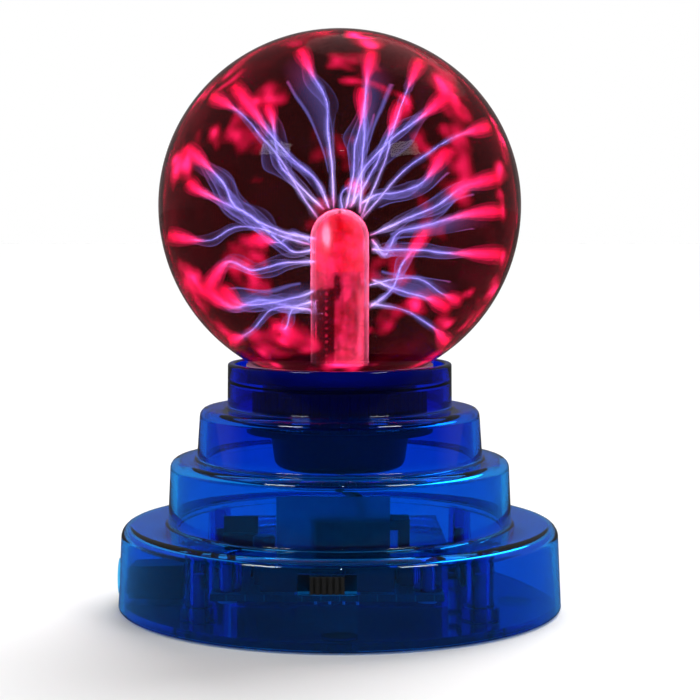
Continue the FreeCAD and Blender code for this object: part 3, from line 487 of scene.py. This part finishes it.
def stem_material():
    m = Mat("stem_glowing_glass")
    wide = m.noise(90, 3)
    m.principled(Base_Color=m.ramp(wide, [(0.3, (1.0, 0.70, 0.74)), (0.7, (1.0, 0.80, 0.82))]), Roughness=0.03,
                 IOR=1.2, Transmission_Weight=1.0, Normal=m.bump(wide, 0.03))
    return m.mat


paint(["electrode_tube"], stem_material())


def height_ramp(m, low, high, stops):
    """A colour ramp along the object's height, low and high in millimetres."""
    split = m.add("SeparateXYZ")
    m.link(m.coords(), split.inputs[0])
    return m.ramp(m.grey(split.outputs["Z"], 0, 1, low * MM, high * MM), stops)


def wool_material():
    m = Mat("wool_painted_red_glow")
    strands = m.noise(900, 6, 0.7)
    blotch = m.noise(170, 3)
    # painted light: red emission on the wool stands in for the plasma's glow round the electrode
    glow = m.ramp(blotch, [(0.30, (0.55, 0.0, 0.012)), (0.55, (1.0, 0.005, 0.04)), (0.74, (1.0, 0.12, 0.22))])
    node = m.principled(Base_Color=(0.2, 0.02, 0.02, 1), Roughness=0.6, Emission_Color=glow,
                        Emission_Strength=m.grey(strands, 3.5, 7.5, 0.3, 0.7), Normal=m.bump(strands, 0.9, 0.0006))
    return m.mat


paint(["electrode_wool"], wool_material())


def mesh_material():
    """Perforated sheet: round holes by alpha, metal between them with a faint red glow painted on for the plasma's
    light.
    """
    m = Mat("mesh_perforated")
    split = m.add("SeparateXYZ")
    m.link(m.coords(), split.inputs[0])
    angle = m.add("Math", operation="ARCTAN2")
    m.link(split.outputs["Y"], angle.inputs[0])
    m.link(split.outputs["X"], angle.inputs[1])
    flat = m.add("CombineXYZ")
    around = m.add("Math", operation="MULTIPLY")
    around.inputs[1].default_value = 5.9
    m.link(angle.outputs[0], around.inputs[0])
    up = m.add("Math", operation="MULTIPLY")
    up.inputs[1].default_value = 1000.0
    m.link(split.outputs["Z"], up.inputs[0])
    m.link(around.outputs[0], flat.inputs["X"])
    m.link(up.outputs[0], flat.inputs["Y"])
    holes = m.add("TexVoronoi", feature="F1", distance="EUCLIDEAN")
    m.put(holes, Scale=0.9, Randomness=0.0)
    m.link(flat.outputs[0], holes.inputs["Vector"])
    solid = m.add("Math", operation="GREATER_THAN")
    solid.inputs[1].default_value = 0.34
    m.link(holes.outputs["Distance"], solid.inputs[0])
    # painted light: the faint red glow on the metal
    glow = m.ramp(m.noise(120, 3), [(0.3, (0.5, 0.0, 0.01)), (0.7, (1.0, 0.03, 0.06))])
    m.principled(Base_Color=(0.18, 0.05, 0.06, 1), Metallic=0.8, Roughness=0.4, Alpha=solid.outputs[0],
                 Emission_Color=glow, Emission_Strength=0.25)
    return m.mat


paint(["electrode_mesh"], mesh_material())


# ------------------------------------------------------------------------------------------ plasma
BALL = Vector((0, 0, 99.6))
SKIN = 43.1


def smooth_path(points, steps=34):
    """Catmull-Rom through the points, evenly in parameter."""
    pts = [Vector(p) for p in points]
    pts = [pts[0] * 2 - pts[1]] + pts + [pts[-1] * 2 - pts[-2]]
    out = []
    spans = len(pts) - 3
    for i in range(steps + 1):
        u = i / steps * spans
        k = min(int(u), spans - 1)
        t = u - k
        a, b, c, d = pts[k:k + 4]
        out.append(0.5 * ((2 * b) + (c - a) * t + (2 * a - 5 * b + 4 * c - d) * t * t + (3 * b - a - 3 * c + d) * t ** 3))
    return out


def jitter(path, amount, seed):
    """Slow wanderings that vanish at the ends."""
    out = []
    for i, p in enumerate(path):
        s = i / (len(path) - 1)
        way = noise.noise_vector(p * 0.07 + Vector((seed * 7.3, seed * 3.1, 0)))
        fine = noise.noise_vector(p * 0.2 + Vector((seed * 2.3, 0, seed * 5.7)))
        out.append(p + (way + fine * 0.3) * amount * math.sin(math.pi * s))
    return out


def inside(p, margin=0.0):
    way = p - BALL
    limit = SKIN - margin
    return BALL + way.normalized() * limit if way.length > limit else p


def tube_mesh(bm, path, radii, layer, values, sides=8):
    """A closed tube along a path, writing one value per ring to a colour layer."""
    rings = []
    up = Vector((0.3, 0.2, 1)).normalized()
    for i, p in enumerate(path):
        a, b = path[max(0, i - 1)], path[min(len(path) - 1, i + 1)]
        way = (b - a).normalized()
        side = way.cross(up).normalized()
        top = side.cross(way).normalized()
        ring = []
        for k in range(sides):
            turn = 2 * math.pi * k / sides
            v = bm.verts.new((p + (side * math.cos(turn) + top * math.sin(turn)) * radii[i]) * MM)
            v[layer] = values[i]
            ring.append(v)
        rings.append(ring)
    for lower, upper in zip(rings, rings[1:]):
        for k in range(sides):
            bm.faces.new((lower[k], lower[(k + 1) % sides], upper[(k + 1) % sides], upper[k]))
    bm.faces.new(list(reversed(rings[0])))
    bm.faces.new(rings[-1])


def finish_mesh(name, bm, mat, body="base"):
    mesh = bpy.data.meshes.new(name)
    bm.normal_update()
    bm.to_mesh(mesh)
    bm.free()
    for poly in mesh.polygons:
        poly.use_smooth = True
    mesh.materials.append(mat)
    obj = bpy.data.objects.new(name, mesh)
    scene.collection.objects.link(obj)
    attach(obj, body)
    return obj


def glow_material(name, strength, alpha_scale):
    """Light only: colour and strength from the vertex colour, see-through by its alpha."""
    m = Mat(name)
    attr = m.add("Attribute", attribute_type="GEOMETRY", attribute_name="glow")
    alpha = m.add("Math", operation="MULTIPLY")
    alpha.inputs[1].default_value = alpha_scale
    m.link(attr.outputs["Alpha"], alpha.inputs[0])
    m.principled(Base_Color=(0, 0, 0, 1), Roughness=1.0, Specular_IOR_Level=0.0, Emission_Color=attr.outputs["Color"],
                 Emission_Strength=strength, Alpha=alpha.outputs[0])
    return m.mat


# as they must shine to look right through the globe's dark tint, which is painted shade, in tenths of full strength
VIOLET = Vector((0.13, 0.27, 1.00))
LILAC = Vector((0.36, 0.62, 1.50))
PINK = Vector((0.62, 0.030, 0.22))
HOT = Vector((0.44, 0.004, 0.055))
WHITE_PINK = Vector((0.62, 0.55, 0.85))


def blend(a, b, t):
    return a * (1 - t) + b * t


def streamer_colour(s):
    """Along a streamer: pink at the electrode, violet in the middle, pink again at the glass."""
    if s < 0.06:
        return blend(blend(PINK, LILAC, 0.4), LILAC, s / 0.06)
    if s < 0.3:
        return blend(LILAC, VIOLET, (s - 0.06) / 0.24)
    if s < 0.66:
        return VIOLET
    if s < 0.86:
        return blend(VIOLET, PINK, (s - 0.66) / 0.2)
    return blend(PINK, HOT, (s - 0.86) / 0.14)


ROUTES = [
    [(-1.5, 4.5, 99.5), (-2.5, 7, 117.5), (-3.5, 8, 127.5), (-7, 9, 133.5), (-10, 10, 140)],
    [(5, -3.5, 98.5), (5.5, -7.5, 108.5), (6, -11, 116.5), (6, -14.5, 124), (6.5, -18, 131.5), (7.5, -20.5, 136.5)],
    [(3, -4, 100.5), (5.5, -8.5, 108.5), (12, -14, 116.5), (19.5, -19, 121.5), (25, -23, 126)],
    [(-2.5, -4, 99.5), (-6, -7.5, 107), (-13.5, -11.5, 114), (-18, -14.5, 119.5), (-25, -19.5, 128.5)],
    [(-4, 3.5, 99.5), (-12, 12.5, 107.5), (-16, 17.5, 112.5), (-17.5, 24, 121.5), (-19, 28, 126.5)],
    [(-5, -3, 92), (-14, -6, 94), (-24, -10, 99), (-28, -12.5, 106), (-32.5, -15, 110.5), (-37, -17, 114)],
    [(-5, 3, 89.5), (-11, 5, 89), (-14.5, 6.5, 91.5), (-23.5, 10.5, 98.5), (-35, 15, 103.5), (-39, 16.5, 106.5)],
    [(-6, -2.5, 79.5), (-10.5, -7, 78), (-16, -13.5, 77), (-23.5, -21, 77), (-27.5, -26.5, 80.5)],
    [(-6, 2.5, 76.5), (-12.5, 5, 75), (-20, 8, 76.5), (-27.5, 11, 74.5), (-34.5, 14.5, 79)],
    [(7.5, -0.5, 93), (17, -6.5, 97), (22.5, -10, 99.5), (29, -14.5, 104.5), (37.5, -20, 107)],
    [(8, 0.5, 92), (11.5, 2, 88), (15, 4, 93.5), (19, 5, 95), (24.5, 6.5, 96.5), (33.5, 9.5, 98.5), (41.5, 11.5, 99)],
    [(8, -0.5, 89.5), (11.5, -2, 89.5), (20, -5.5, 89.5), (29, -9, 88.5), (39.5, -13, 88.5)],
    [(7.5, 0.5, 75), (13, 10.5, 78.5), (17, 21.5, 85), (23, 36, 93.5)],
    [(8, -0.5, 82), (13.5, -8.5, 80), (19.5, -17.5, 78.5), (25, -26.5, 76.5)],
    [(5.5, 3, 101), (9.5, 7.5, 103.5), (17, 14.5, 104.5), (23, 21, 108), (28, 28.5, 115)],
    [(1.5, 4.5, 99.5), (3, 10.5, 107), (4, 16.5, 114.5), (5.5, 22.5, 122.5), (6, 29, 131)],
    [(-5.5, -3, 86.5), (-13.5, -7.5, 86.5), (-20.5, -12, 84.5), (-27, -16, 86.5), (-32, -21, 80)],
    [(2.5, 4, 100), (8.5, 13.5, 109.5), (12.5, 21, 117.5), (16, 29, 127)],
]


def polar(azimuth, elevation, radius):
    """A point about the globe's middle: azimuth 0 is the front, +90 the right, in degrees."""
    a, e = math.radians(azimuth), math.radians(elevation)
    return BALL + Vector((math.sin(a) * math.cos(e), -math.cos(a) * math.cos(e), math.sin(e))) * radius


def extra_routes(count, seed):
    """Streamers that fill the rest of the globe, spread evenly and then loosened."""
    rnd = random.Random(seed)
    taken = [(Vector(r[-1]) - BALL).normalized() for r in ROUTES]
    out = []
    tries = 0
    while len(out) < count and tries < 4000:
        tries += 1
        az, el = rnd.uniform(-180, 180), math.degrees(math.asin(rnd.uniform(-0.78, 0.97)))
        tip = polar(az, el, SKIN)
        way = (tip - BALL).normalized()
        if any(way.angle(t) < 0.50 for t in taken) or (abs(az) < 38 and abs(el) < 30):
            continue
        taken.append(way)
        flat = Vector((way.x, way.y, 0)).normalized()
        start_height = min(96, max(66, 92 + 24 * way.z + rnd.uniform(-3, 3)))
        start = flat * 7.2 + Vector((0, 0, start_height))
        if start_height > 91:
            lift = (start_height - 91) / 7
            start = flat * (7.2 * math.cos(lift)) + Vector((0, 0, 92.4 + 7.2 * math.sin(lift)))
        middle = start.lerp(tip, 0.45) + Vector((0, 0, 3.5)) + Vector((rnd.uniform(-2, 2), rnd.uniform(-2, 2), 0))
        late = start.lerp(tip, 0.75) + Vector((rnd.uniform(-2.5, 2.5), rnd.uniform(-2.5, 2.5), rnd.uniform(-1, 3)))
        out.append([tuple(start), tuple(middle), tuple(late), tuple(tip)])
    return out


def ribbon(bm, layer, path, seed, width, light):
    """A twisting band of light along a path, thin and faint in the middle and bright along both edges."""
    rnd = random.Random(seed)
    spin, phase = rnd.uniform(1.2, 2.6) * rnd.choice((-1, 1)), rnd.uniform(0, 6.28)
    marks = (-1.0, -0.965, -0.90, -0.7, -0.4, 0.0, 0.4, 0.7, 0.90, 0.965, 1.0)
    glows = (0.0, 1.0, 0.34, 0.15, 0.085, 0.06, 0.085, 0.15, 0.30, 0.8, 0.0)
    count = len(path) - 1
    rows = []
    for i, p in enumerate(path):
        s = i / count
        way = (path[min(count, i + 1)] - path[max(0, i - 1)]).normalized()
        side = way.cross(Vector((0.3, 0.2, 1))).normalized()
        top = side.cross(way).normalized()
        turn = phase + spin * s
        lean = side * math.cos(turn) + top * math.sin(turn)
        half = width * (0.10 + math.sin(math.pi * min(1, s * 1.08)) ** 1.1) * (0.75 + 0.5 * noise.noise(p * 0.07))
        c = streamer_colour(s)
        fade = 0.5 * light * min(1, s / 0.10) * (1.0 if s < 0.9 else 1 - (s - 0.9) * 6)
        row = []
        for t, g in zip(marks, glows):
            v = bm.verts.new(inside(p + lean * (half * t) + top * (half * 0.25 * (1 - t * t)), 0.2) * MM)
            v[layer] = (c.x, c.y, c.z, g * fade)
            row.append(v)
        rows.append(row)
    for lower, upper in zip(rows, rows[1:]):
        for k in range(len(marks) - 1):
            bm.faces.new((lower[k], lower[k + 1], upper[k + 1], upper[k]))


def streamers():
    """Each streamer is a bundle: a fine bright thread, a soft halo and one or two bands."""
    core, halo, bands = bmesh.new(), bmesh.new(), bmesh.new()
    layers = [b.verts.layers.float_color.new("glow") for b in (core, halo, bands)]
    paths = []
    for n, route in enumerate(ROUTES + extra_routes(26, 5)):
        path = [inside(p) for p in jitter(smooth_path(route, 60), 1.0, n)]
        if n >= len(ROUTES) and any(p.y < -7 and abs(p.x) < 11 and p.z < 101 for p in path):
            continue
        paths.append(path)
        count = len(path) - 1
        weight = 1.0 if n < len(ROUTES) else 0.6
        for nest, (radius, light) in enumerate(((0.12, 0.66), (0.30, 0.20), (0.65, 0.07), (1.2, 0.028))):
            radii, values = [], []
            for i in range(count + 1):
                s = i / count
                flare = 1 + 1.2 * max(0, (s - 0.65) / 0.35) ** 1.5 if nest else 1 - 0.3 * s
                radii.append(radius * flare * (0.8 + 0.5 * noise.noise(path[i] * 0.3)))
                c = streamer_colour(s)
                c = blend(c, LILAC, 0.6) if nest == 0 and 0.04 < s < 0.8 else c
                fade = min(1, s / 0.05 + 0.2) * (1.0 if s < 0.93 else (1 - s) / 0.07 * 0.7 + 0.3)
                values.append((c.x, c.y, c.z, light * weight * fade))
            tube_mesh(halo if nest else core, path, radii, layers[1 if nest else 0], values, 10 if nest else 6)
        ribbon(bands, layers[2], path, 100 + n, 2.6 if n < len(ROUTES) else 2.0, weight)
        if n < len(ROUTES):
            shifted = [p + noise.noise_vector(p * 0.06 + Vector((n, 3 * n, 0))) * 2.2 * math.sin(math.pi * i / count)
                       for i, p in enumerate(path)]
            ribbon(bands, layers[2], [inside(p) for p in shifted], 300 + n, 3.8, 0.6)
    finish_mesh("plasma_streamer_threads", core, glow_material("plasma_thread_light", 26.0, 0.8))
    finish_mesh("plasma_streamer_halos", halo, glow_material("plasma_halo_light", 26.0, 1.0))
    finish_mesh("plasma_streamer_bands", bands, glow_material("plasma_band_light", 23.4, 0.75))
    return paths


def veils(paths):
    """Thin sheets of light hung between neighbouring streamers, brighter at their edges."""
    bm = bmesh.new()
    layer = bm.verts.layers.float_color.new("glow")
    pairs = [(3, 4), (2, 17), (5, 6), (7, 16), (9, 10), (10, 11), (0, 3), (1, 2), (13, 11), (14, 9), (15, 17), (8, 7)]
    across = 10
    for a, b in pairs:
        one, two = paths[a], paths[b]
        grid = []
        for i in range(len(one)):
            s = i / (len(one) - 1)
            row = []
            for k in range(across + 1):
                t = k / across
                base = one[i].lerp(two[i], t * 0.42)
                sag = noise.noise_vector(base * 0.08) * 2.0 * math.sin(math.pi * t)
                v = bm.verts.new(inside(base + sag, 0.3) * MM)
                c = VIOLET if s < 0.7 else blend(VIOLET, PINK, (s - 0.7) / 0.3)
                light = 0.2 * (1 - t) ** 1.1 * max(0, math.sin(math.pi * min(1, s * 1.05))) ** 0.8
                light += 0.25 if k == across - 1 and 0.15 < s < 0.85 else 0
                v[layer] = (c.x, c.y, c.z, light if k < across else 0)
                row.append(v)
            grid.append(row)
        for r0, r1 in zip(grid, grid[1:]):
            for k in range(across):
                bm.faces.new((r0[k], r0[k + 1], r1[k + 1], r1[k]))
    finish_mesh("plasma_veils", bm, glow_material("plasma_veil_light", 23.4, 1.0))


# hot patches where streamers meet the glass: azimuth, elevation, size in degrees, strength
PATCHES = [
    (-83, 38, 9, 1.0), (-121, 23, 9, 0.8), (-61, 14, 8, 0.5), (-107, 8, 10, 1.0), (-31, 38, 8, 0.8), (-136, 29, 9, 0.7),
    (-29, 7, 6, 0.25), (-133, 76, 10, 0.6), (23, 65, 9, 0.8), (169, 62, 9, 0.6), (11, 41, 7, 0.5), (154, 40, 8, 0.6),
    (49, 43, 10, 1.0), (120, 40, 9, 1.0), (44, 25, 10, 1.0), (150, 22, 9, 0.7), (27, 2, 7, 0.5), (145, -6, 9, 0.8),
    (41, 10, 9, 0.8), (96, 20, 9, 1.0), (24, -10, 7, 0.6), (143, -34, 9, 0.9), (18, -37, 8, 0.8), (-149, -45, 9, 0.8),
    (-20, -44, 8, 0.9), (-143, -22, 9, 0.8), (-36, -15, 7, 0.6), (-108, -29, 10, 1.0), (-83, -33, 9, 1.0),
    (-110, -46, 8, 0.8), (-39, -49, 8, 0.8), (164, -22, 9, 0.6), (-5, 18, 6, 0.35), (-170, -2, 8, 0.5),
    (88, -2, 8, 0.9), (70, -30, 8, 0.9), (100, -38, 9, 0.8), (66, 52, 8, 0.6), (-60, 55, 8, 0.7), (0, -58, 8, 0.8),
    (60, -52, 8, 0.8), (180, 20, 8, 0.5), (-90, 62, 7, 0.6),
]


def glow_skin(paths):
    """Light lying against the inside of the glass, streaked away from each streamer's foot."""
    spots = [(polar(az, el, 1.0) - BALL, math.radians(size), strength) for az, el, size, strength in PATCHES]
    for n, path in enumerate(paths):
        spots.append(((path[-1] - BALL).normalized(), math.radians(5.5), 0.9))
    bm = bmesh.new()
    layer = bm.verts.layers.float_color.new("glow")
    columns, rows = 220, 130
    grid = []
    for r in range(rows + 1):
        el = math.radians(-62 + (62 + 90) * r / rows)
        row = []
        for c in range(columns):
            az = 2 * math.pi * c / columns
            way = Vector((math.sin(az) * math.cos(el), -math.cos(az) * math.cos(el), math.sin(el)))
            warp = noise.noise_vector(way * 3.2) * 0.16 + noise.noise_vector(way * 9.0) * 0.05
            warped = (way + warp).normalized()
            total = 0.0
            for spot, size, strength in spots:
                gap = warped.angle(spot)
                if gap < size * 2.4:
                    total += strength * math.exp(-(gap / size) ** 2 * 1.9)
            total *= 0.8 + 0.8 * noise.noise(way * 12.0)
            total = max(0.0, min(total, 1.2) - 0.16)
            colour = blend(HOT, PINK, min(1, total ** 1.5))
            v = bm.verts.new((BALL + way * (SKIN + 1.1)) * MM)
            v[layer] = (colour.x, colour.y, colour.z, min(0.95, 0.85 * total ** 1.1))
            row.append(v)
        grid.append(row)
    for lower, upper in zip(grid, grid[1:]):
        for c in range(columns):
            n = (c + 1) % columns
            bm.faces.new((lower[c], lower[n], upper[n], upper[c]))
    finish_mesh("plasma_glow_on_glass", bm, glow_material("plasma_skin_light", 26.0, 1.0))


def brushes(paths):
    """Flame-shaped tips, widening from each streamer to the glass."""
    bm = bmesh.new()
    layer = bm.verts.layers.float_color.new("glow")
    for n, path in enumerate(paths):
        tail = path[int(len(path) * 0.70):]
        count = len(tail) - 1
        for width, light in ((0.7, 0.30), (1.4, 0.13), (2.3, 0.05)):
            radii = [0.25 + width * math.sin(math.pi * min(0.98, (i / count) ** 1.2 * 0.62)) for i in range(count + 1)]
            values = []
            for i in range(count + 1):
                s = i / count
                c = blend(PINK, HOT, s)
                values.append((c.x, c.y, c.z, light * min(1, s * 2.2) * (1.0 if s < 0.9 else 0.6)))
            tube_mesh(bm, tail, radii, layer, values, 10)
    finish_mesh("plasma_tip_brushes", bm, glow_material("plasma_tip_light", 26.0, 1.0))


def fins(name, spine, depth, count, light, strength):
    """Thin radial leaves along a spine of (radius, height, normal): faint face-on, bright where they stack up."""
    bm = bmesh.new()
    layer = bm.verts.layers.float_color.new("glow")
    steps = (0.0, 0.12, 0.35, 1.0)
    shares = (1.0, 0.8, 0.3, 0.0)
    for k in range(count):
        turn = 2 * math.pi * k / count
        c, s = math.cos(turn), math.sin(turn)
        rows = []
        for r, z, nr, nz in spine:
            row = []
            for t, share in zip(steps, shares):
                rr, zz = r + nr * depth * t, z + nz * depth * t
                p = Vector((rr * c, rr * s, zz))
                colour, value = light(p, t)
                v = bm.verts.new(p * MM)
                v[layer] = (colour.x, colour.y, colour.z, max(0, min(1, value * share)))
                row.append(v)
            rows.append(row)
        for lower, upper in zip(rows, rows[1:]):
            for i in range(len(steps) - 1):
                bm.faces.new((lower[i], lower[i + 1], upper[i + 1], upper[i]))
    finish_mesh(name, bm, glow_material(name + "_light", strength, 1.0))


def stem_glow():
    """The layer of light that hugs the stem, whitest along its outline, and the light on the inside of its glass."""
    spine = [(7.16, 61 + (92.3 - 61) * i / 24, 1, 0) for i in range(24)]
    spine += [(7.14 * math.cos(t), 92.3 + 7.14 * math.sin(t), math.cos(t), math.sin(t)) for t in
              [math.radians(86 * i / 16) for i in range(17)]]

    def outline(p, t):
        high = max(0.0, min(1.0, (p.z - 62) / 26))
        calm = 0.35 if p.x < 0 and p.z < 80 else 1.0
        return blend(WHITE_PINK, PINK, min(1, t * 2.6)), calm * (0.11 + 0.30 * high) * (0.8 + 0.5 * noise.noise(p * 0.3))
    fins("plasma_stem_outline", spine, 0.24, 130, outline, 26.0)

    for number, (radius, share) in enumerate(((6.05, 1.0), (7.12, 0.22))):
        stem_light(f"plasma_stem_light_{number + 1}", radius, share)


def stem_light(name, radius, share):
    """Light clinging to the stem's glass: cloudy above, drawn out below, dark where the mesh lies open, with a painted
    highlight on the dome and painted glints along the mesh's edge.
    """
    bm = bmesh.new()
    layer = bm.verts.layers.float_color.new("glow")
    sides, rows = 144, []
    profile = [(radius, 60.5 + (92.3 - 60.5) * i / 80) for i in range(80)]
    profile += [(radius * math.cos(t), 92.3 + radius * math.sin(t)) for t in
                [math.radians(88 * i / 22) for i in range(23)]]
    for r, z in profile:
        row = []
        for k in range(sides):
            turn = 2 * math.pi * k / sides
            p = Vector((r * math.cos(turn), r * math.sin(turn), z))
            cloud = noise.noise(p * 0.32) + 0.5 * noise.noise(p * 0.8)
            drawn = noise.noise(Vector((p.x * 0.9, p.y * 0.9, p.z * 0.12)))
            low = max(0.0, min(1.0, (80.5 - z) / 1.2))
            shade = max(0.0, min(1.0, (-1.0 - p.x) / 0.5)) * low
            value = 0.46 + 0.34 * cloud + 0.24 * drawn
            value += 0.25 * math.exp(-((p.x - 5.0) / 0.8) ** 2) * low
            # painted highlight: a bright white spot on the left of the dome, brightened here and whitened by spot below
            value += 0.75 * math.exp(-((p.x + 3.0) / 1.1) ** 2 - ((z - 92.5) / 3.2) ** 2)
            value -= 0.9 * math.exp(-((p.x - 1.0) / 2.6) ** 2 - ((z - 95.2 + 0.5 * p.x) / 1.3) ** 2)
            value -= 0.5 * math.exp(-((p.x + 0.6) / 0.9) ** 2 - ((z - 80.0) / 4.5) ** 2)
            spot = math.exp(-((p.x + 3.2) / 0.9) ** 2 - ((z - 92.8) / 2.3) ** 2)
            pale = 0.03 + max(1.6 * spot, 0.16 * math.exp(-((p.x - 5.0) / 0.6) ** 2) * low, 0.12 * low * max(0, (68 - z) / 8))
            colour = blend(blend(HOT, PINK, max(0, min(1, 0.35 + 1.2 * cloud))), WHITE_PINK, max(0, min(1, pale)))
            value = max(0, min(0.95, value)) * (1 - 0.97 * shade)
            # painted glints: small bright teeth down the dark zone where the mesh lies open
            if shade > 0.5 and abs(p.x + 3.2) < 0.28 and (z / 1.7) % 1 < 0.36:
                value = 0.30
            v = bm.verts.new(p * MM)
            v[layer] = (colour.x, colour.y, colour.z, value * share)
            row.append(v)
        rows.append(row)
    for lower, upper in zip(rows, rows[1:]):
        for k in range(sides):
            bm.faces.new((lower[k], lower[(k + 1) % sides], upper[(k + 1) % sides], upper[k]))
    bm.faces.new(rows[-1])
    finish_mesh(name, bm, glow_material(name, 15.0, 1.0))


def limb_glow():
    """A breath of red light just inside the glass, which only shows round the outline of the ball."""
    def light(p, t):
        way = (p - BALL).normalized()
        return HOT, 0.010 + 0.06 * max(0, noise.noise(way * 6.0 + Vector((3, 1, 2))))
    spine = []
    for i in range(61):
        t = math.radians(4 + (160 - 4) * i / 60)
        spine.append((43.6 * math.sin(t), BALL.z + 43.6 * math.cos(t), math.sin(t), math.cos(t)))
    fins("plasma_limb_glow", spine, 0.5, 360, light, 26.0)


paths = streamers()
veils(paths)
brushes(paths)
glow_skin(paths)
stem_glow()
limb_glow()


# ------------------------------------------------------------------------------------------ stage and light
def floor():
    m = Mat("floor_white")
    ray = m.add("LightPath")
    diffuse = m.add("BsdfDiffuse")
    diffuse.inputs["Color"].default_value = (0.86, 0.86, 0.86, 1)
    light = m.add("Emission")
    light.inputs["Color"].default_value = (1, 1, 1, 1)
    light.inputs["Strength"].default_value = 0.06
    seen = m.add("AddShader")
    m.link(diffuse.outputs[0], seen.inputs[0])
    m.link(light.outputs[0], seen.inputs[1])
    gloss = m.add("Emission")
    gloss.inputs["Color"].default_value = (1, 1, 1, 1)
    gloss.inputs["Strength"].default_value = 0.06
    mirrored = m.add("Math", operation="SUBTRACT", use_clamp=True)
    m.link(ray.outputs["Is Glossy Ray"], mirrored.inputs[0])
    m.link(ray.outputs["Is Transmission Ray"], mirrored.inputs[1])
    pick = m.add("MixShader")
    m.link(mirrored.outputs[0], pick.inputs[0])
    m.link(seen.outputs[0], pick.inputs[1])
    m.link(gloss.outputs[0], pick.inputs[2])
    m.link(pick.outputs[0], m.out.inputs["Surface"])
    mesh = bpy.data.meshes.new("floor")
    size = 6.0
    mesh.from_pydata([(-size, -size, 0), (size, -size, 0), (size, size, 0), (-size, size, 0)], [], [(0, 1, 2, 3)])
    mesh.materials.append(m.mat)
    obj = bpy.data.objects.new("floor", mesh)
    scene.collection.objects.link(obj)


def world():
    made = bpy.data.worlds.new("studio")
    scene.world = made
    made.use_nodes = True
    tree = made.node_tree
    tree.nodes.clear()
    out = tree.nodes.new("ShaderNodeOutputWorld")
    ray = tree.nodes.new("ShaderNodeLightPath")
    coords = tree.nodes.new("ShaderNodeTexCoord")
    split = tree.nodes.new("ShaderNodeSeparateXYZ")
    tree.links.new(coords.outputs["Generated"], split.inputs[0])
    ramp = tree.nodes.new("ShaderNodeValToRGB")
    stops = [(0.0, 0.015), (0.42, 0.02), (0.60, 0.20), (1.0, 0.13)]
    while len(ramp.color_ramp.elements) < len(stops):
        ramp.color_ramp.elements.new(0.5)
    for element, (pos, val) in zip(ramp.color_ramp.elements, stops):
        element.position = pos
        element.color = (val, val, val, 1)
    span = tree.nodes.new("ShaderNodeMapRange")
    span.inputs["From Min"].default_value = -1
    span.inputs["From Max"].default_value = 1
    tree.links.new(split.outputs["Y"], span.inputs["Value"])
    tree.links.new(span.outputs[0], ramp.inputs[0])
    plain = tree.nodes.new("ShaderNodeBackground")
    plain.inputs["Color"].default_value = (1, 1, 1, 1)
    plain.inputs["Strength"].default_value = 1.0
    lit = tree.nodes.new("ShaderNodeBackground")
    lit.inputs["Color"].default_value = (1, 1, 1, 1)
    lit.inputs["Strength"].default_value = 0.32
    mirror = tree.nodes.new("ShaderNodeBackground")
    tree.links.new(ramp.outputs[0], mirror.inputs["Color"])
    mirror.inputs["Strength"].default_value = 1.0
    seen = tree.nodes.new("ShaderNodeMath")
    seen.operation = "MAXIMUM"
    tree.links.new(ray.outputs["Is Camera Ray"], seen.inputs[0])
    tree.links.new(ray.outputs["Is Transmission Ray"], seen.inputs[1])
    first = tree.nodes.new("ShaderNodeMixShader")
    tree.links.new(seen.outputs[0], first.inputs[0])
    tree.links.new(lit.outputs[0], first.inputs[1])
    tree.links.new(plain.outputs[0], first.inputs[2])
    mirrored = tree.nodes.new("ShaderNodeMath")
    mirrored.operation = "SUBTRACT"
    mirrored.use_clamp = True
    tree.links.new(ray.outputs["Is Glossy Ray"], mirrored.inputs[0])
    tree.links.new(ray.outputs["Is Transmission Ray"], mirrored.inputs[1])
    second = tree.nodes.new("ShaderNodeMixShader")
    tree.links.new(mirrored.outputs[0], second.inputs[0])
    tree.links.new(first.outputs[0], second.inputs[1])
    tree.links.new(mirror.outputs[0], second.inputs[2])
    tree.links.new(second.outputs[0], out.inputs["Surface"])


def lamp(name, kind, place, aim, energy, size=(0.1, 0.1), glossy=True, diffuse=True):
    data = bpy.data.lights.new(name, kind)
    data.energy = energy
    if kind == "AREA":
        data.shape = "RECTANGLE"
        data.size, data.size_y = size
    else:
        data.angle = size[0]
    obj = bpy.data.objects.new(name, data)
    scene.collection.objects.link(obj)
    obj.location = place
    obj.rotation_euler = (Vector(aim) - Vector(place)).to_track_quat("-Z", "Y").to_euler()
    obj.visible_glossy = glossy
    obj.visible_diffuse = diffuse
    return obj


floor()
world()
lamp("sun_soft", "SUN", (0.25, 0.62, 0.78), (0, 0, 0), 3.25, (0.8, 0), glossy=False)
lamp("box_left", "AREA", (-0.55, -0.55, 0.62), (0, 0, 0.03), 1.8, (0.30, 0.14))
lamp("strip_front", "AREA", (0.02, -0.75, 0.62), (0, 0, 0.03), 0.10, (0.045, 0.012), diffuse=False)
lamp("box_right", "AREA", (0.55, -0.55, 0.62), (0, 0, 0.03), 1.8, (0.30, 0.14))
